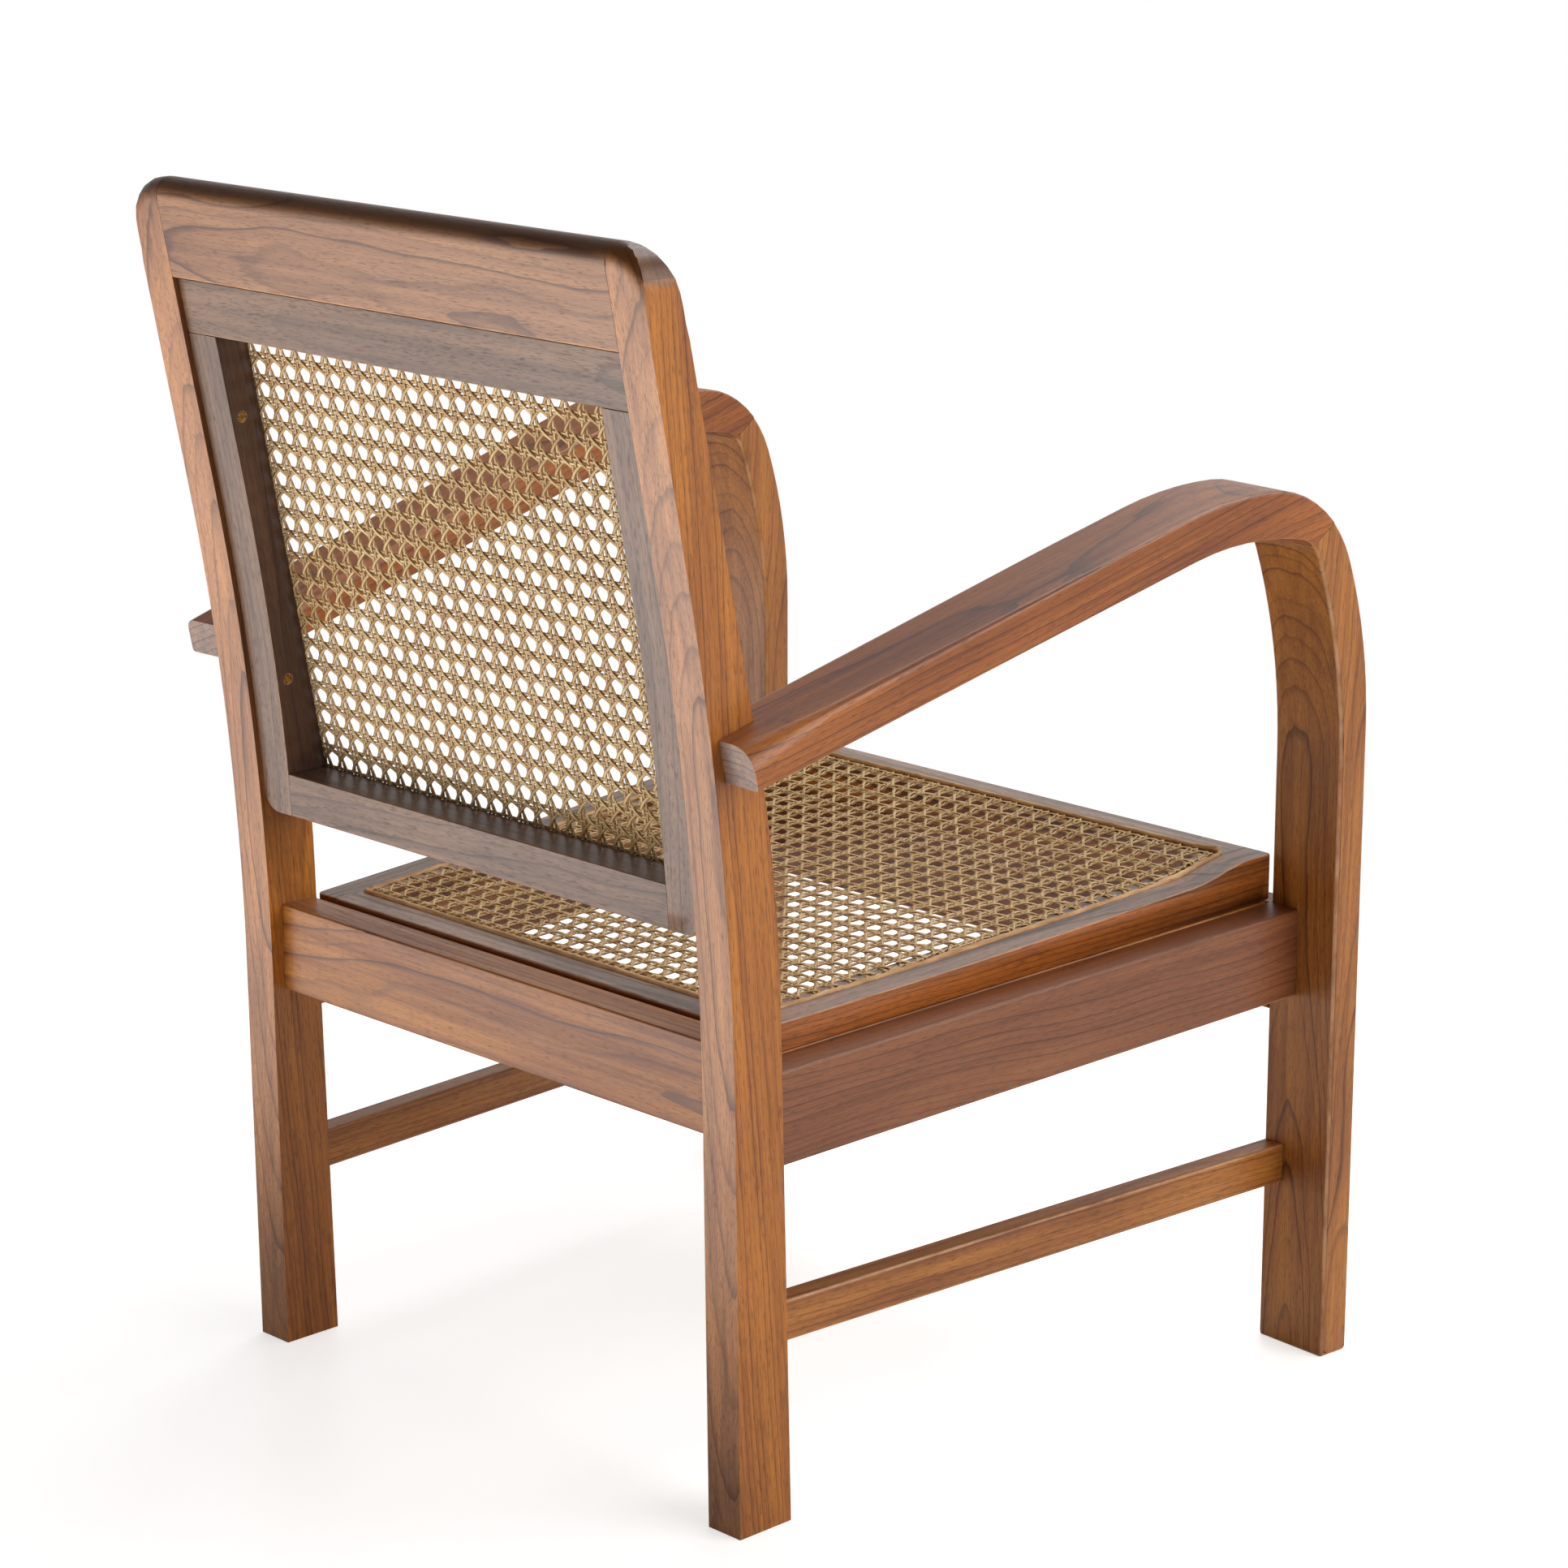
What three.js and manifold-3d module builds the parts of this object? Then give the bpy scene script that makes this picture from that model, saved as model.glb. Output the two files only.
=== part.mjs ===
// Planters chair in teak, with a caned back panel and a drop-in caned seat.
// Lengths are millimetres and angles are degrees.
// +Z is up, the sitter faces -Y, and +X is on the sitter's left.
// Outlines use "forward", the distance in front of the rear legs' back face at the floor, so forward is -Y.
// Each side piece is made for the sitter's left, and the one on the right is its mirror image. Only the arms
// differ: the left one is longer and lower behind, and the right one is worn rounder at its end.

import * as THREE from "three";
import { mergeVertices } from "three/addons/utils/BufferGeometryUtils.js";
import Module from "manifold-3d";

const wasm = await Module();
wasm.setup();

// Whole chair
const chairHeight = 848.8;
const backHalfWidth = 222; // centre line to the inner face of a rear leg
const splay = 3.84; // each side opens outward toward the front
const jointGap = 0.3; // clearance all round a glued joint
const overrun = 1200; // how far a cutting shape reaches past what it cuts
const facetTurn = 8; // most degrees that a bend turns in one facet
const facetLength = 17; // longest facet of a bend

// Rear legs, sawn to a bent outline: lean, lower straight, bend radius and bend of each sawn edge
const legWidth = 30;
const legFootDepth = 46;
const legBackLean = 0.7;
const legBackStraight = 283;
const legBackRadius = 1934;
const legBackBend = 10.5;
const legFrontLean = 1.5;
const legFrontStraight = 355;
const legFrontRadius = 1000;
const legFrontBend = 10.6;
const topCornerRadius = 28; // corner of the back, seen from behind
const topEdgeRadius = 15; // rounding over the top of the back
const topRoundingShare = 0.48; // the most of the top's depth that this rounding takes
const topEdgeFacets = 5;
const topFade = { outset: 10, length: 24 }; // it shrinks round the corner, then dies out down the leg
const topProud = 0.05; // how far the rounding shape stands off the faces that it runs into

// Arms and front legs: outer line and inner line, each with its bends from the leg to the arm
const sideWidth = 62.4;
const legFrontFace = 540.5; // front of the front leg, measured along the side
const frontLegDepth = 26.5;
const armHeight = 641.5;
const armDepth = 32.5; // thickness of the arm at its highest point
const leftArm = { slope: 15, undersideSlope: 14, reach: 17.7 }; // reach: behind the rear leg's foot
const rightArm = { slope: 14, undersideSlope: 13.6, reach: 13 };
const armEndLean = 12; // an arm's end is cut nearly square to its slope
const armBlankReach = 60; // how far the uncut board runs on
const outerShoulder = { radius: 351, turn: 20.6 };
const outerKnuckle = { radius: 87, turn: 67.5 };
const outerCrownRadius = 297;
const innerShoulder = { radius: 422, turn: 20.8 };
const innerKnuckle = { radius: 26.4, turn: 58 };
const innerCrownRadius = 233;
const sideEdgeRadius = 2.5; // eased arris of arms and front legs
const sideEdgeFacets = 2;
const armEndRound = { radius: 16, length: 80 }; // worn upper corner of the right arm's rear end
const armOuterRound = { radius: 6.5, length: 300 }; // upper arrises of the arm, sharper toward the front
const armInnerRound = { radius: 10.5, length: 320 };
const armRoundSides = 24;
const mitreStart = 49.4; // where the arm's mitre meets the inner knuckle, in degrees from upright
const mitreSlope = 33.5;
const mitreTenon = { setIn: 12.5, thickness: 8, length: 10, shoulder: 11 };
const armTenon = { width: 12, height: 15, length: 12 };

// Seat rails and stretchers
const railThickness = 27;
const railHeight = 63.4;
const railTopRear = 309.4;
const railSlope = 2.02;
const railTenon = { shoulder: 11, thickness: 9 };
const tenonWall = 5; // wood left between a side rail's tenon and the cross rail's
const rearRail = { back: 6.7, thickness: 28.3, proud: 20.4, height: 63 };
const rearRailTenon = { setBack: 5, thickness: 9, length: 18, shoulder: 10 };
const frontRail = { setBack: 3.2, thickness: 21, drop: 0.6, height: 79 };
const frontRailTenon = { setBack: 7.5, thickness: 8, length: 24, shoulder: 12 };
const stretcher = { setOut: 1.4, thickness: 18, bottom: 122.5, height: 28.5 };
const stretcherTenon = { thickness: 8, shoulder: 5, rearLength: 16, frontLength: 12 };

// Ledges inside the side rails, which carry the seat
const ledge = { width: 18, height: 24, proud: 1.2, endGap: 4 };

// Crest rail and the framed back panel, screwed between the rear legs
const crestHeight = 67.2;
const crestTenon = { length: 14, thickness: 10, lift: 11.4, height: 42 };
const panelGap = 0.8; // under the crest rail
const panelLift = 72; // over the rear seat rail
const panelSetIn = 4; // from the back of the rear legs to the panel's bent back
const panelDepth = { bottom: 36.7, top: 25.8 }; // from its bent back to its flat front
const panelStile = 29.2;
const panelTopRail = 37.4;
const panelBottomRail = 30.8;
const panelCornerRadius = 14;
const panelTenon = { length: 20, thickness: 9, setIn: 7, shoulder: 6 };
const screw = { belowTopRail: 56.4, aboveBottomRail: 67.4, setBack: 13.5, length: 39 };
const screwHead = { radius: 3.9, depth: 2.4, slotWidth: 1, slotDepth: 1.1 };
const screwShank = { radius: 2, tip: 4 };
const screwSides = 14;

// Drop-in seat
const seatGap = 1; // between the seat and each side of the chair
const seatBackGap = 1.7; // between the seat and the rear legs or the rear rail
const seatFrontReach = 5.5; // how far the seat runs past the back of the front legs
const seatThickness = 19.3; // at its back edge
const seatMemberWidth = 38;
const seatShoulder = 24; // visible width of a side member past the cross members
const seatCornerRadius = 5;
const seatDish = { lean: 1.6, turn: 2.6 };
const seatScoop = { radius: 120, turn: 10.8 };
const seatRampRun = 11;
const seatNoseRadius = 110;
const seatNoseFlat = 17;
const seatTenon = { length: 12, height: 6, lift: 5, shoulder: 6 };

// Cane and the reeds that wedge it into its groove
const canePitch = 15.9;
const caneThickness = 1.2;
const caneBarShare = 0.2; // share of a cell that is solid on each side of its gap
const netPitches = 2; // one modelled gap stands for this many cane pitches each way
const grooveWidth = 6.5;
const grooveDepth = 5;
const grooveCornerRadius = 10;
const seatGrooveMargin = 22.2;
const panelGrooveLand = 8; // between the opening and the groove
const reedProud = 0.7;

// Finishes
const teak = { color: 0x8a5030, roughness: 0.42, metalness: 0 };
const teakDark = { color: 0x70402a, roughness: 0.45, metalness: 0 };
const cane = { color: 0xb8955a, roughness: 0.6, metalness: 0 };
const reed = { color: 0xa06c38, roughness: 0.5, metalness: 0 };
const brass = { color: 0x8c7440, roughness: 0.35, metalness: 1 };

const degree = Math.PI / 180;
const right = 90; // degrees in a right angle
const opening = Math.tan(splay * degree);
const X = new THREE.Vector3(1, 0, 0);
const Y = new THREE.Vector3(0, 1, 0);
const Z = new THREE.Vector3(0, 0, 1);
const forward = new THREE.Vector3(0, -1, 0);
const alongSide = new THREE.Vector3(Math.sin(splay * degree), -Math.cos(splay * degree), 0);
const outward = new THREE.Vector3(Math.cos(splay * degree), Math.sin(splay * degree), 0);
const outerPlaneFoot = X.clone().multiplyScalar(backHalfWidth + sideWidth / Math.cos(splay * degree));

// Views: each places an outline's x and y in the chair, and its thickness goes away from the viewer.
const view = (origin, across, up) =>
  new THREE.Matrix4().makeBasis(across, up, across.clone().cross(up)).setPosition(origin);
const fromSide = (x) => view(X.clone().multiplyScalar(x), forward, Z);
const fromBehind = (distance) => view(forward.clone().multiplyScalar(distance), X, Z);
const fromAbove = (z) => view(Z.clone().multiplyScalar(z), X, forward);
const alongSplay = (inset) => view(outerPlaneFoot.clone().addScaledVector(outward, -inset), alongSide, Z);

// A closed solid from a three.js geometry.
function solid(geometry) {
  const bare = geometry.index ? geometry.toNonIndexed() : geometry.clone();
  bare.deleteAttribute("normal");
  bare.deleteAttribute("uv");
  const merged = mergeVertices(bare);
  return new wasm.Manifold(
    new wasm.Mesh({
      numProp: 3,
      vertProperties: merged.attributes.position.array,
      triVerts: new Uint32Array(merged.index.array),
    }),
  );
}

// An outline extruded through a view.
function prism(outline, thickness, place, easing = { bevelEnabled: false }) {
  const geometry = new THREE.ExtrudeGeometry(new THREE.Shape(outline), { depth: thickness, ...easing });
  return solid(geometry.applyMatrix4(place));
}

// A block between two corners of a view: x and y of the outline, and depth into the view.
function block([x0, x1], [y0, y1], [depth0, depth1], place) {
  const box = new THREE.BoxGeometry(x1 - x0, y1 - y0, depth1 - depth0);
  return solid(box.translate((x0 + x1) / 2, (y0 + y1) / 2, (depth0 + depth1) / 2).applyMatrix4(place));
}

const everywhere = [-overrun, overrun];
const grown = (ranges, by) => ranges.map(([from, to]) => [from - by, to + by]);

const fuse = (...solids) => solids.reduce((whole, next) => whole.add(next));
const carve = (whole, ...cutters) => cutters.reduce((rest, cutter) => rest.subtract(cutter), whole);
const mirrored = (piece) => piece.mirror(X.toArray());
const rightOfMiddle = block([-overrun, 0], everywhere, everywhere, fromBehind(0));

// A line traced from a point: straight runs, bends to the left (to the right where the turn is below
// zero), and runs that end level with a given x or y.
function trace(x, y, heading, moves) {
  const at = new THREE.Vector2(x, y);
  const points = [at.clone()];
  let angle = heading * degree;
  for (const { run, radius, turn, toX, toY } of moves) {
    if (turn) {
      const hand = Math.sign(turn);
      const swing = turn * degree;
      const count = Math.max(Math.abs(turn) / facetTurn, (radius * Math.abs(swing)) / facetLength);
      const steps = Math.ceil(count);
      const aside = new THREE.Vector2(-Math.sin(angle), Math.cos(angle));
      const centre = aside.multiplyScalar(radius * hand).add(at);
      for (let step = 1; step <= steps; step++) {
        const turned = angle + (swing * step) / steps;
        at.set(Math.sin(turned), -Math.cos(turned)).multiplyScalar(radius * hand).add(centre);
        points.push(at.clone());
      }
      angle += swing;
    } else {
      const toLevel = toX === undefined ? (toY - at.y) / Math.sin(angle) : (toX - at.x) / Math.cos(angle);
      const length = run ?? toLevel;
      at.add(new THREE.Vector2(Math.cos(angle), Math.sin(angle)).multiplyScalar(length));
      points.push(at.clone());
    }
  }
  return points;
}

// A closed outline whose corners are given as x, y and, where the corner is round, its radius.
function outline(corners) {
  return corners.flatMap(([x, y, radius], index) => {
    const corner = new THREE.Vector2(x, y);
    if (!radius) return [corner];
    const toward = (other) => new THREE.Vector2(other[0], other[1]).sub(corner).normalize();
    const back = toward(corners.at(index - 1));
    const ahead = toward(corners[(index + 1) % corners.length]);
    const half = back.angleTo(ahead) / 2;
    const centre = back.clone().add(ahead).setLength(radius / Math.sin(half)).add(corner);
    const start = back.multiplyScalar(radius / Math.tan(half)).add(corner).sub(centre);
    const end = ahead.multiplyScalar(radius / Math.tan(half)).add(corner).sub(centre);
    const swing = Math.sign(start.cross(end)) * start.angleTo(end);
    const steps = Math.ceil(Math.abs(swing) / degree / (facetTurn * 2));
    return Array.from({ length: steps + 1 }, (_, step) =>
      start.clone().rotateAround(new THREE.Vector2(), (swing * step) / steps).add(centre),
    );
  });
}

// The x of a traced line at a height, or the y of one at an x. Its last run goes on past its end.
function between(points, value, from, to) {
  const [a, b] = points
    .slice(1)
    .map((point, index) => [points[index], point])
    .find(([, ahead], index, runs) => ahead[from] >= value || index === runs.length - 1);
  return a[to] + ((b[to] - a[to]) * (value - a[from])) / (b[from] - a[from]);
}

// Rear legs: the back edge and the front edge, each moved forward by a given distance.
const legBackEdge = (moved, top = chairHeight) =>
  trace(moved, 0, right + legBackLean, [
    { run: legBackStraight },
    { radius: legBackRadius + moved, turn: legBackBend },
    { toY: top },
  ]);
const legFrontEdge = (moved, top = chairHeight) =>
  trace(legFootDepth + moved, 0, right + legFrontLean, [
    { run: legFrontStraight },
    { radius: legFrontRadius + moved, turn: legFrontBend },
    { toY: top },
  ]);

const legBackAt = (z, moved = 0) => between(legBackEdge(moved), z, "y", "x");
const legFrontAt = (z) => between(legFrontEdge(0), z, "y", "x");

// The rear leg's outline seen from the side
const legOutline = (growth) => {
  const top = chairHeight + growth;
  return [...legBackEdge(-growth, top), ...legFrontEdge(growth, top).reverse()];
};

const legOuter = backHalfWidth + legWidth;
const legSweep = (x0, x1) => prism(legOutline(0), x1 - x0, fromSide(x1));
const legWithRoom = prism(legOutline(jointGap), legWidth * 2 + jointGap, fromSide(legOuter + jointGap));

// The back's rounded rim: an outline seen from behind, rounded over where it meets the back's rear or front
// face. It parts from the back's own outline round the corners and down the legs, so the rounding fades out.
const legTopDepth = legFrontAt(chairHeight) - legBackAt(chairHeight);
const topRounding = Math.min(topEdgeRadius, legTopDepth * topRoundingShare);
const rimCorner = topCornerRadius + topFade.outset;
const rimSide = legOuter + topFade.outset;
const rimTop = chairHeight + topProud;
const fadeStart = chairHeight - rimCorner - topFade.outset;
const fadeEnd = fadeStart - topFade.length;
const rimOutline = outline([
  [-rimSide - topRounding, 0],
  [rimSide + topRounding, 0],
  [rimSide + topRounding, fadeEnd],
  [rimSide, fadeStart],
  [rimSide, rimTop, rimCorner],
  [-rimSide, rimTop, rimCorner],
  [-rimSide, fadeStart],
  [-rimSide - topRounding, fadeEnd],
]);
const rim = (lean, distance) => {
  const slope = Math.tan(lean * degree);
  const place = new THREE.Matrix4()
    .makeBasis(X, Z.clone().addScaledVector(Y, slope), forward)
    .setPosition(0, -distance - slope * chairHeight, 0);
  return prism(rimOutline, overrun, place, {
    bevelSize: topRounding,
    bevelOffset: -topRounding,
    bevelThickness: topRounding,
    bevelSegments: topEdgeFacets,
  });
};
const rearRim = rim(legBackLean + legBackBend, legBackAt(chairHeight) - topProud + topRounding);
const frontRim = rim(
  legFrontLean + legFrontBend,
  legFrontAt(chairHeight) + topProud - topRounding - overrun,
);
const belowRim = block(everywhere, [-overrun, fadeEnd], everywhere, fromBehind(0));
const backSilhouette = prism(
  outline([
    [-legOuter, 0],
    [legOuter, 0],
    [legOuter, chairHeight, topCornerRadius],
    [-legOuter, chairHeight, topCornerRadius],
  ]),
  overrun * 2,
  fromBehind(-overrun),
);
const backRim = rearRim.intersect(frontRim).add(belowRim).intersect(backSilhouette);

// Arms and front legs share one bent outline, cut by a mitre.
const climb = (bends) => {
  let angle = 0;
  return bends.reduce((height, { radius, turn }) => {
    const end = Math.min(angle + turn, right);
    const rise = radius * (Math.sin(end * degree) - Math.sin(angle * degree));
    angle = end;
    return height + rise;
  }, 0);
};
const outerBends = (slope) => [
  outerShoulder,
  outerKnuckle,
  { radius: outerCrownRadius, turn: right + slope - outerShoulder.turn - outerKnuckle.turn },
];
const innerBends = (slope) => [
  innerShoulder,
  innerKnuckle,
  { radius: innerCrownRadius, turn: right + slope - innerShoulder.turn - innerKnuckle.turn },
];
const frontLegBack = legFrontFace - frontLegDepth;
const outerUpright = armHeight - climb(outerBends(0));
const innerUpright = armHeight - armDepth - climb(innerBends(0));
const toRear = { toX: -armBlankReach };
const outerLine = ({ slope }) =>
  trace(legFrontFace, 0, right, [{ run: outerUpright }, ...outerBends(slope), toRear]);
const innerLine = ({ undersideSlope }) =>
  trace(frontLegBack, 0, right, [{ run: innerUpright }, ...innerBends(undersideSlope), toRear]);
const sideEasing = {
  bevelSize: sideEdgeRadius,
  bevelOffset: -sideEdgeRadius,
  bevelThickness: sideEdgeRadius,
  bevelSegments: sideEdgeFacets,
};
const sideBoard = (arm) =>
  prism(
    [...outerLine(arm), ...innerLine(arm).reverse()],
    sideWidth - sideEdgeRadius * 2,
    alongSplay(sideEdgeRadius),
    sideEasing,
  );

const mitreRoot = trace(frontLegBack, 0, right, [
  { run: innerUpright },
  innerShoulder,
  { radius: innerKnuckle.radius, turn: mitreStart - innerShoulder.turn },
]).at(-1);
const atMitre = alongSplay(0)
  .multiply(new THREE.Matrix4().makeTranslation(mitreRoot.x, mitreRoot.y, 0))
  .multiply(new THREE.Matrix4().makeRotationZ(mitreSlope * degree));
const belowMitre = (gap) => block(everywhere, [-overrun, -gap], everywhere, atMitre);
const mitreTenonRanges = [
  [mitreTenon.setIn - mitreTenon.thickness / 2, mitreTenon.setIn + mitreTenon.thickness / 2],
  [-mitreTenon.length, mitreTenon.length],
  [mitreTenon.shoulder, sideWidth - mitreTenon.shoulder],
];

// Side rail, stretcher and ledge, seen along the splayed side.
const railTopAt = (distance) => railTopRear + Math.tan(railSlope * degree) * distance;
const slopedBar = (x0, x1, top, height, depth, inset) =>
  prism(
    outline([
      [x0, railTopAt(x0) + top - height],
      [x1, railTopAt(x1) + top - height],
      [x1, railTopAt(x1) + top],
      [x0, railTopAt(x0) + top],
    ]),
    depth,
    alongSplay(inset),
  );
const railInset = sideWidth - railThickness;
const railMiddle = sideWidth - railThickness / 2;
const railTenonBar = (x0, x1, growth) =>
  slopedBar(
    x0 - growth,
    x1 + growth,
    growth - railTenon.shoulder,
    railHeight - railTenon.shoulder * 2 + growth * 2,
    railTenon.thickness + growth * 2,
    railMiddle - railTenon.thickness / 2 - growth,
  );
const railTenonEnd = rearRail.back + rearRailTenon.setBack + rearRailTenon.thickness + tenonWall;
const railRearTenon = (growth) => railTenonBar(railTenonEnd, legFootDepth * 2, growth);
const frontRailBack = frontLegBack + frontRail.setBack;
const railTenonFront = frontRailBack + frontRailTenon.setBack - tenonWall;
const railFrontTenon = (growth) => railTenonBar(frontLegBack - legFootDepth, railTenonFront, growth);

const stretcherTop = stretcher.bottom + stretcher.height;
const stretcherInset = sideWidth - stretcher.setOut - stretcher.thickness;
const stretcherRanges = [
  [0, frontLegBack - jointGap],
  [stretcher.bottom, stretcherTop],
  [stretcherInset, stretcherInset + stretcher.thickness],
];
const stretcherCheek = (stretcher.thickness - stretcherTenon.thickness) / 2;
const stretcherTenonRanges = [
  [legFrontAt(stretcherTop) - stretcherTenon.rearLength, frontLegBack + stretcherTenon.frontLength],
  [stretcher.bottom + stretcherTenon.shoulder, stretcherTop - stretcherTenon.shoulder],
  [stretcherInset + stretcherCheek, stretcherInset + stretcher.thickness - stretcherCheek],
];
const stretcherTenonBar = (growth) => block(...grown(stretcherTenonRanges, growth), alongSplay(0));

// Cross rails
const insideHalf = (distance) => backHalfWidth + opening * distance;
const betweenLegs = backHalfWidth - jointGap;
const rearRailTop = railTopRear + rearRail.proud;
const rearRailBottom = rearRailTop - rearRail.height;
const rearRailRanges = [
  [-betweenLegs, betweenLegs],
  [rearRailBottom, rearRailTop],
  [0, rearRail.thickness],
];
const rearRailTenonRanges = [
  [-backHalfWidth - rearRailTenon.length, backHalfWidth + rearRailTenon.length],
  [rearRailBottom + rearRailTenon.shoulder, rearRailTop - rearRailTenon.shoulder],
  [rearRailTenon.setBack, rearRailTenon.setBack + rearRailTenon.thickness],
];
const atRearRail = fromBehind(rearRail.back);
const rearRailTenonBar = (growth) => block(...grown(rearRailTenonRanges, growth), atRearRail);

const frontRailHalfBack = insideHalf(frontRailBack) - jointGap;
const frontRailHalfFront = insideHalf(frontRailBack + frontRail.thickness) - jointGap;
const frontRailTop = railTopAt(frontRailBack) - frontRail.drop;
const frontRailPlan = outline([
  [-frontRailHalfBack, frontRailBack],
  [frontRailHalfBack, frontRailBack],
  [frontRailHalfFront, frontRailBack + frontRail.thickness],
  [-frontRailHalfFront, frontRailBack + frontRail.thickness],
]);
const frontRailTenonRanges = [
  [-frontRailHalfBack - frontRailTenon.length, frontRailHalfBack + frontRailTenon.length],
  [frontRailTop - frontRail.height + frontRailTenon.shoulder, frontRailTop - frontRailTenon.shoulder],
  [frontRailTenon.setBack, frontRailTenon.setBack + frontRailTenon.thickness],
];
const frontRailTenonBar = (growth) =>
  block(...grown(frontRailTenonRanges, growth), fromBehind(frontRailBack));

// Crest rail tenons lie in the slope of the back, in the middle of the leg.
const crestBottom = chairHeight - crestHeight;
const crestTenonBack = (legFrontAt(crestBottom) - legBackAt(crestBottom) - crestTenon.thickness) / 2;
const crestTenonBar = (growth) => {
  const low = crestBottom + crestTenon.lift - growth;
  const high = low + crestTenon.height + growth * 2;
  const corners = (moved) => [low, high].map((z) => [legBackAt(z, moved), z]);
  const back = corners(crestTenonBack - growth);
  const front = corners(crestTenonBack + crestTenon.thickness + growth);
  const reach = backHalfWidth + crestTenon.length + growth;
  return prism(outline([...back.reverse(), ...front]), reach * 2, fromSide(reach));
};

// Arm tenon into the front of the rear leg
const heightAlong = (line, distance) => between(line.reverse(), distance, "x", "y");
const legMiddle = backHalfWidth + legWidth / 2;
const armTenonMiddle = (heightAlong(outerLine(rightArm), 0) + heightAlong(innerLine(rightArm), 0)) / 2;
const armTenonFront = legFrontAt(armTenonMiddle);
const armTenonRanges = [
  [armTenonFront - armTenon.length, armTenonFront + armTenon.length],
  [armTenonMiddle - armTenon.height / 2, armTenonMiddle + armTenon.height / 2],
  [-armTenon.width / 2, armTenon.width / 2],
];
const armTenonBar = (growth) => block(...grown(armTenonRanges, growth), fromSide(legMiddle));

// Panel screws: countersunk, slotted, driven outward through the panel stile into the rear leg.
const panelTop = crestBottom - panelGap;
const panelBottom = rearRailTop + panelLift;
const openingBottom = panelBottom + panelBottomRail;
const openingTop = panelTop - panelTopRail;
const openingHalf = betweenLegs - panelStile;
const screwHeights = {
  upper: openingTop - screw.belowTopRail,
  lower: openingBottom + screw.aboveBottomRail,
};
function screwBody(z, growth) {
  const profile = [
    [0, growth],
    [screwHead.radius + growth, growth],
    [screwShank.radius + growth, -screwHead.depth],
    [screwShank.radius + growth, screwShank.tip - screw.length],
    [0, -screw.length - growth],
  ].map(([radius, height]) => new THREE.Vector2(radius, height));
  const lathe = new THREE.LatheGeometry(profile.reverse(), screwSides).rotateZ(right * degree);
  return solid(lathe.translate(openingHalf, -legBackAt(z) - screw.setBack, z));
}
function screwSolid(z) {
  const slot = [
    [-screwHead.radius * 2, screwHead.radius * 2],
    [-screwHead.slotWidth / 2, screwHead.slotWidth / 2],
    [-screwHead.slotDepth, screwHead.slotDepth],
  ];
  const place = fromSide(openingHalf).premultiply(
    new THREE.Matrix4().makeTranslation(0, -legBackAt(z) - screw.setBack, z),
  );
  return carve(screwBody(z, 0), block(...slot, place));
}

// Joined pieces of one side
const sideRail = fuse(
  carve(slopedBar(0, frontLegBack - jointGap, 0, railHeight, railThickness, railInset), legWithRoom),
  railRearTenon(0),
  railFrontTenon(0),
);
const stretcherBar = fuse(
  carve(block(...stretcherRanges, alongSplay(0)), legWithRoom),
  stretcherTenonBar(0),
);
const ledgeBar = slopedBar(
  legFootDepth,
  frontLegBack - ledge.endGap,
  ledge.proud,
  ledge.height,
  ledge.width,
  sideWidth + jointGap,
);

const frontLeg = carve(
  fuse(sideBoard(rightArm).intersect(belowMitre(jointGap / 2)), block(...mitreTenonRanges, atMitre)),
  railFrontTenon(jointGap),
  stretcherTenonBar(jointGap),
  frontRailTenonBar(jointGap),
);

// What rounds an upper arris of the arm, most at its rear end: a square bar less a cone, laid along the arm.
// The bar leans in step with the cone, whose side stays flush with both faces.
const outerSide = alongSplay(0);
const innerSide = alongSplay(sideWidth).scale(X.clone().add(Y).sub(Z));
function armRound({ radius, length }, side, { slope, reach }) {
  const taper = (radius - sideEdgeRadius) / length;
  const from = -armBlankReach;
  const to = length + sideEdgeRadius;
  const radiusAt = (distance) => radius - taper * distance;
  const cone = new THREE.CylinderGeometry(radiusAt(to), radiusAt(from), to - from, armRoundSides);
  const bar = carve(
    block([0, radius * 2], [0, radius * 2], [from, length], new THREE.Matrix4()),
    solid(cone.rotateX(right * degree).translate(0, 0, (from + to) / 2)),
  );
  const leaning = Z.clone().addScaledVector(X, taper).addScaledVector(Y, taper);
  const place = side
    .clone()
    .multiply(new THREE.Matrix4().makeTranslation(-reach, heightAlong(outerLine({ slope }), -reach), 0))
    .multiply(new THREE.Matrix4().makeRotationZ(slope * degree))
    .multiply(new THREE.Matrix4().makeRotationY(right * degree))
    .multiply(new THREE.Matrix4().makeBasis(X, Y, leaning).setPosition(-radius, -radius, 0));
  return bar.transform(place.toArray());
}
function armPiece(arm, ...outerRounds) {
  const atEnd = alongSplay(0)
    .multiply(new THREE.Matrix4().makeTranslation(-arm.reach, heightAlong(innerLine(arm), -arm.reach), 0))
    .multiply(new THREE.Matrix4().makeRotationZ(armEndLean * degree));
  const board = carve(
    sideBoard(arm),
    belowMitre(-jointGap / 2),
    legWithRoom,
    block([-overrun, 0], everywhere, everywhere, atEnd),
    ...outerRounds.map((round) => armRound(round, outerSide, arm)),
    armRound(armInnerRound, innerSide, arm),
  );
  return carve(fuse(board, armTenonBar(0)), block(...grown(mitreTenonRanges, jointGap), atMitre));
}

const screwHoles = Object.values(screwHeights).map((z) => screwBody(z, jointGap));

const rearLeg = carve(
  legSweep(backHalfWidth, legOuter).intersect(backRim),
  rearRailTenonBar(jointGap),
  railRearTenon(jointGap),
  stretcherTenonBar(jointGap),
  crestTenonBar(jointGap),
  armTenonBar(jointGap),
  ...screwHoles,
);

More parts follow.
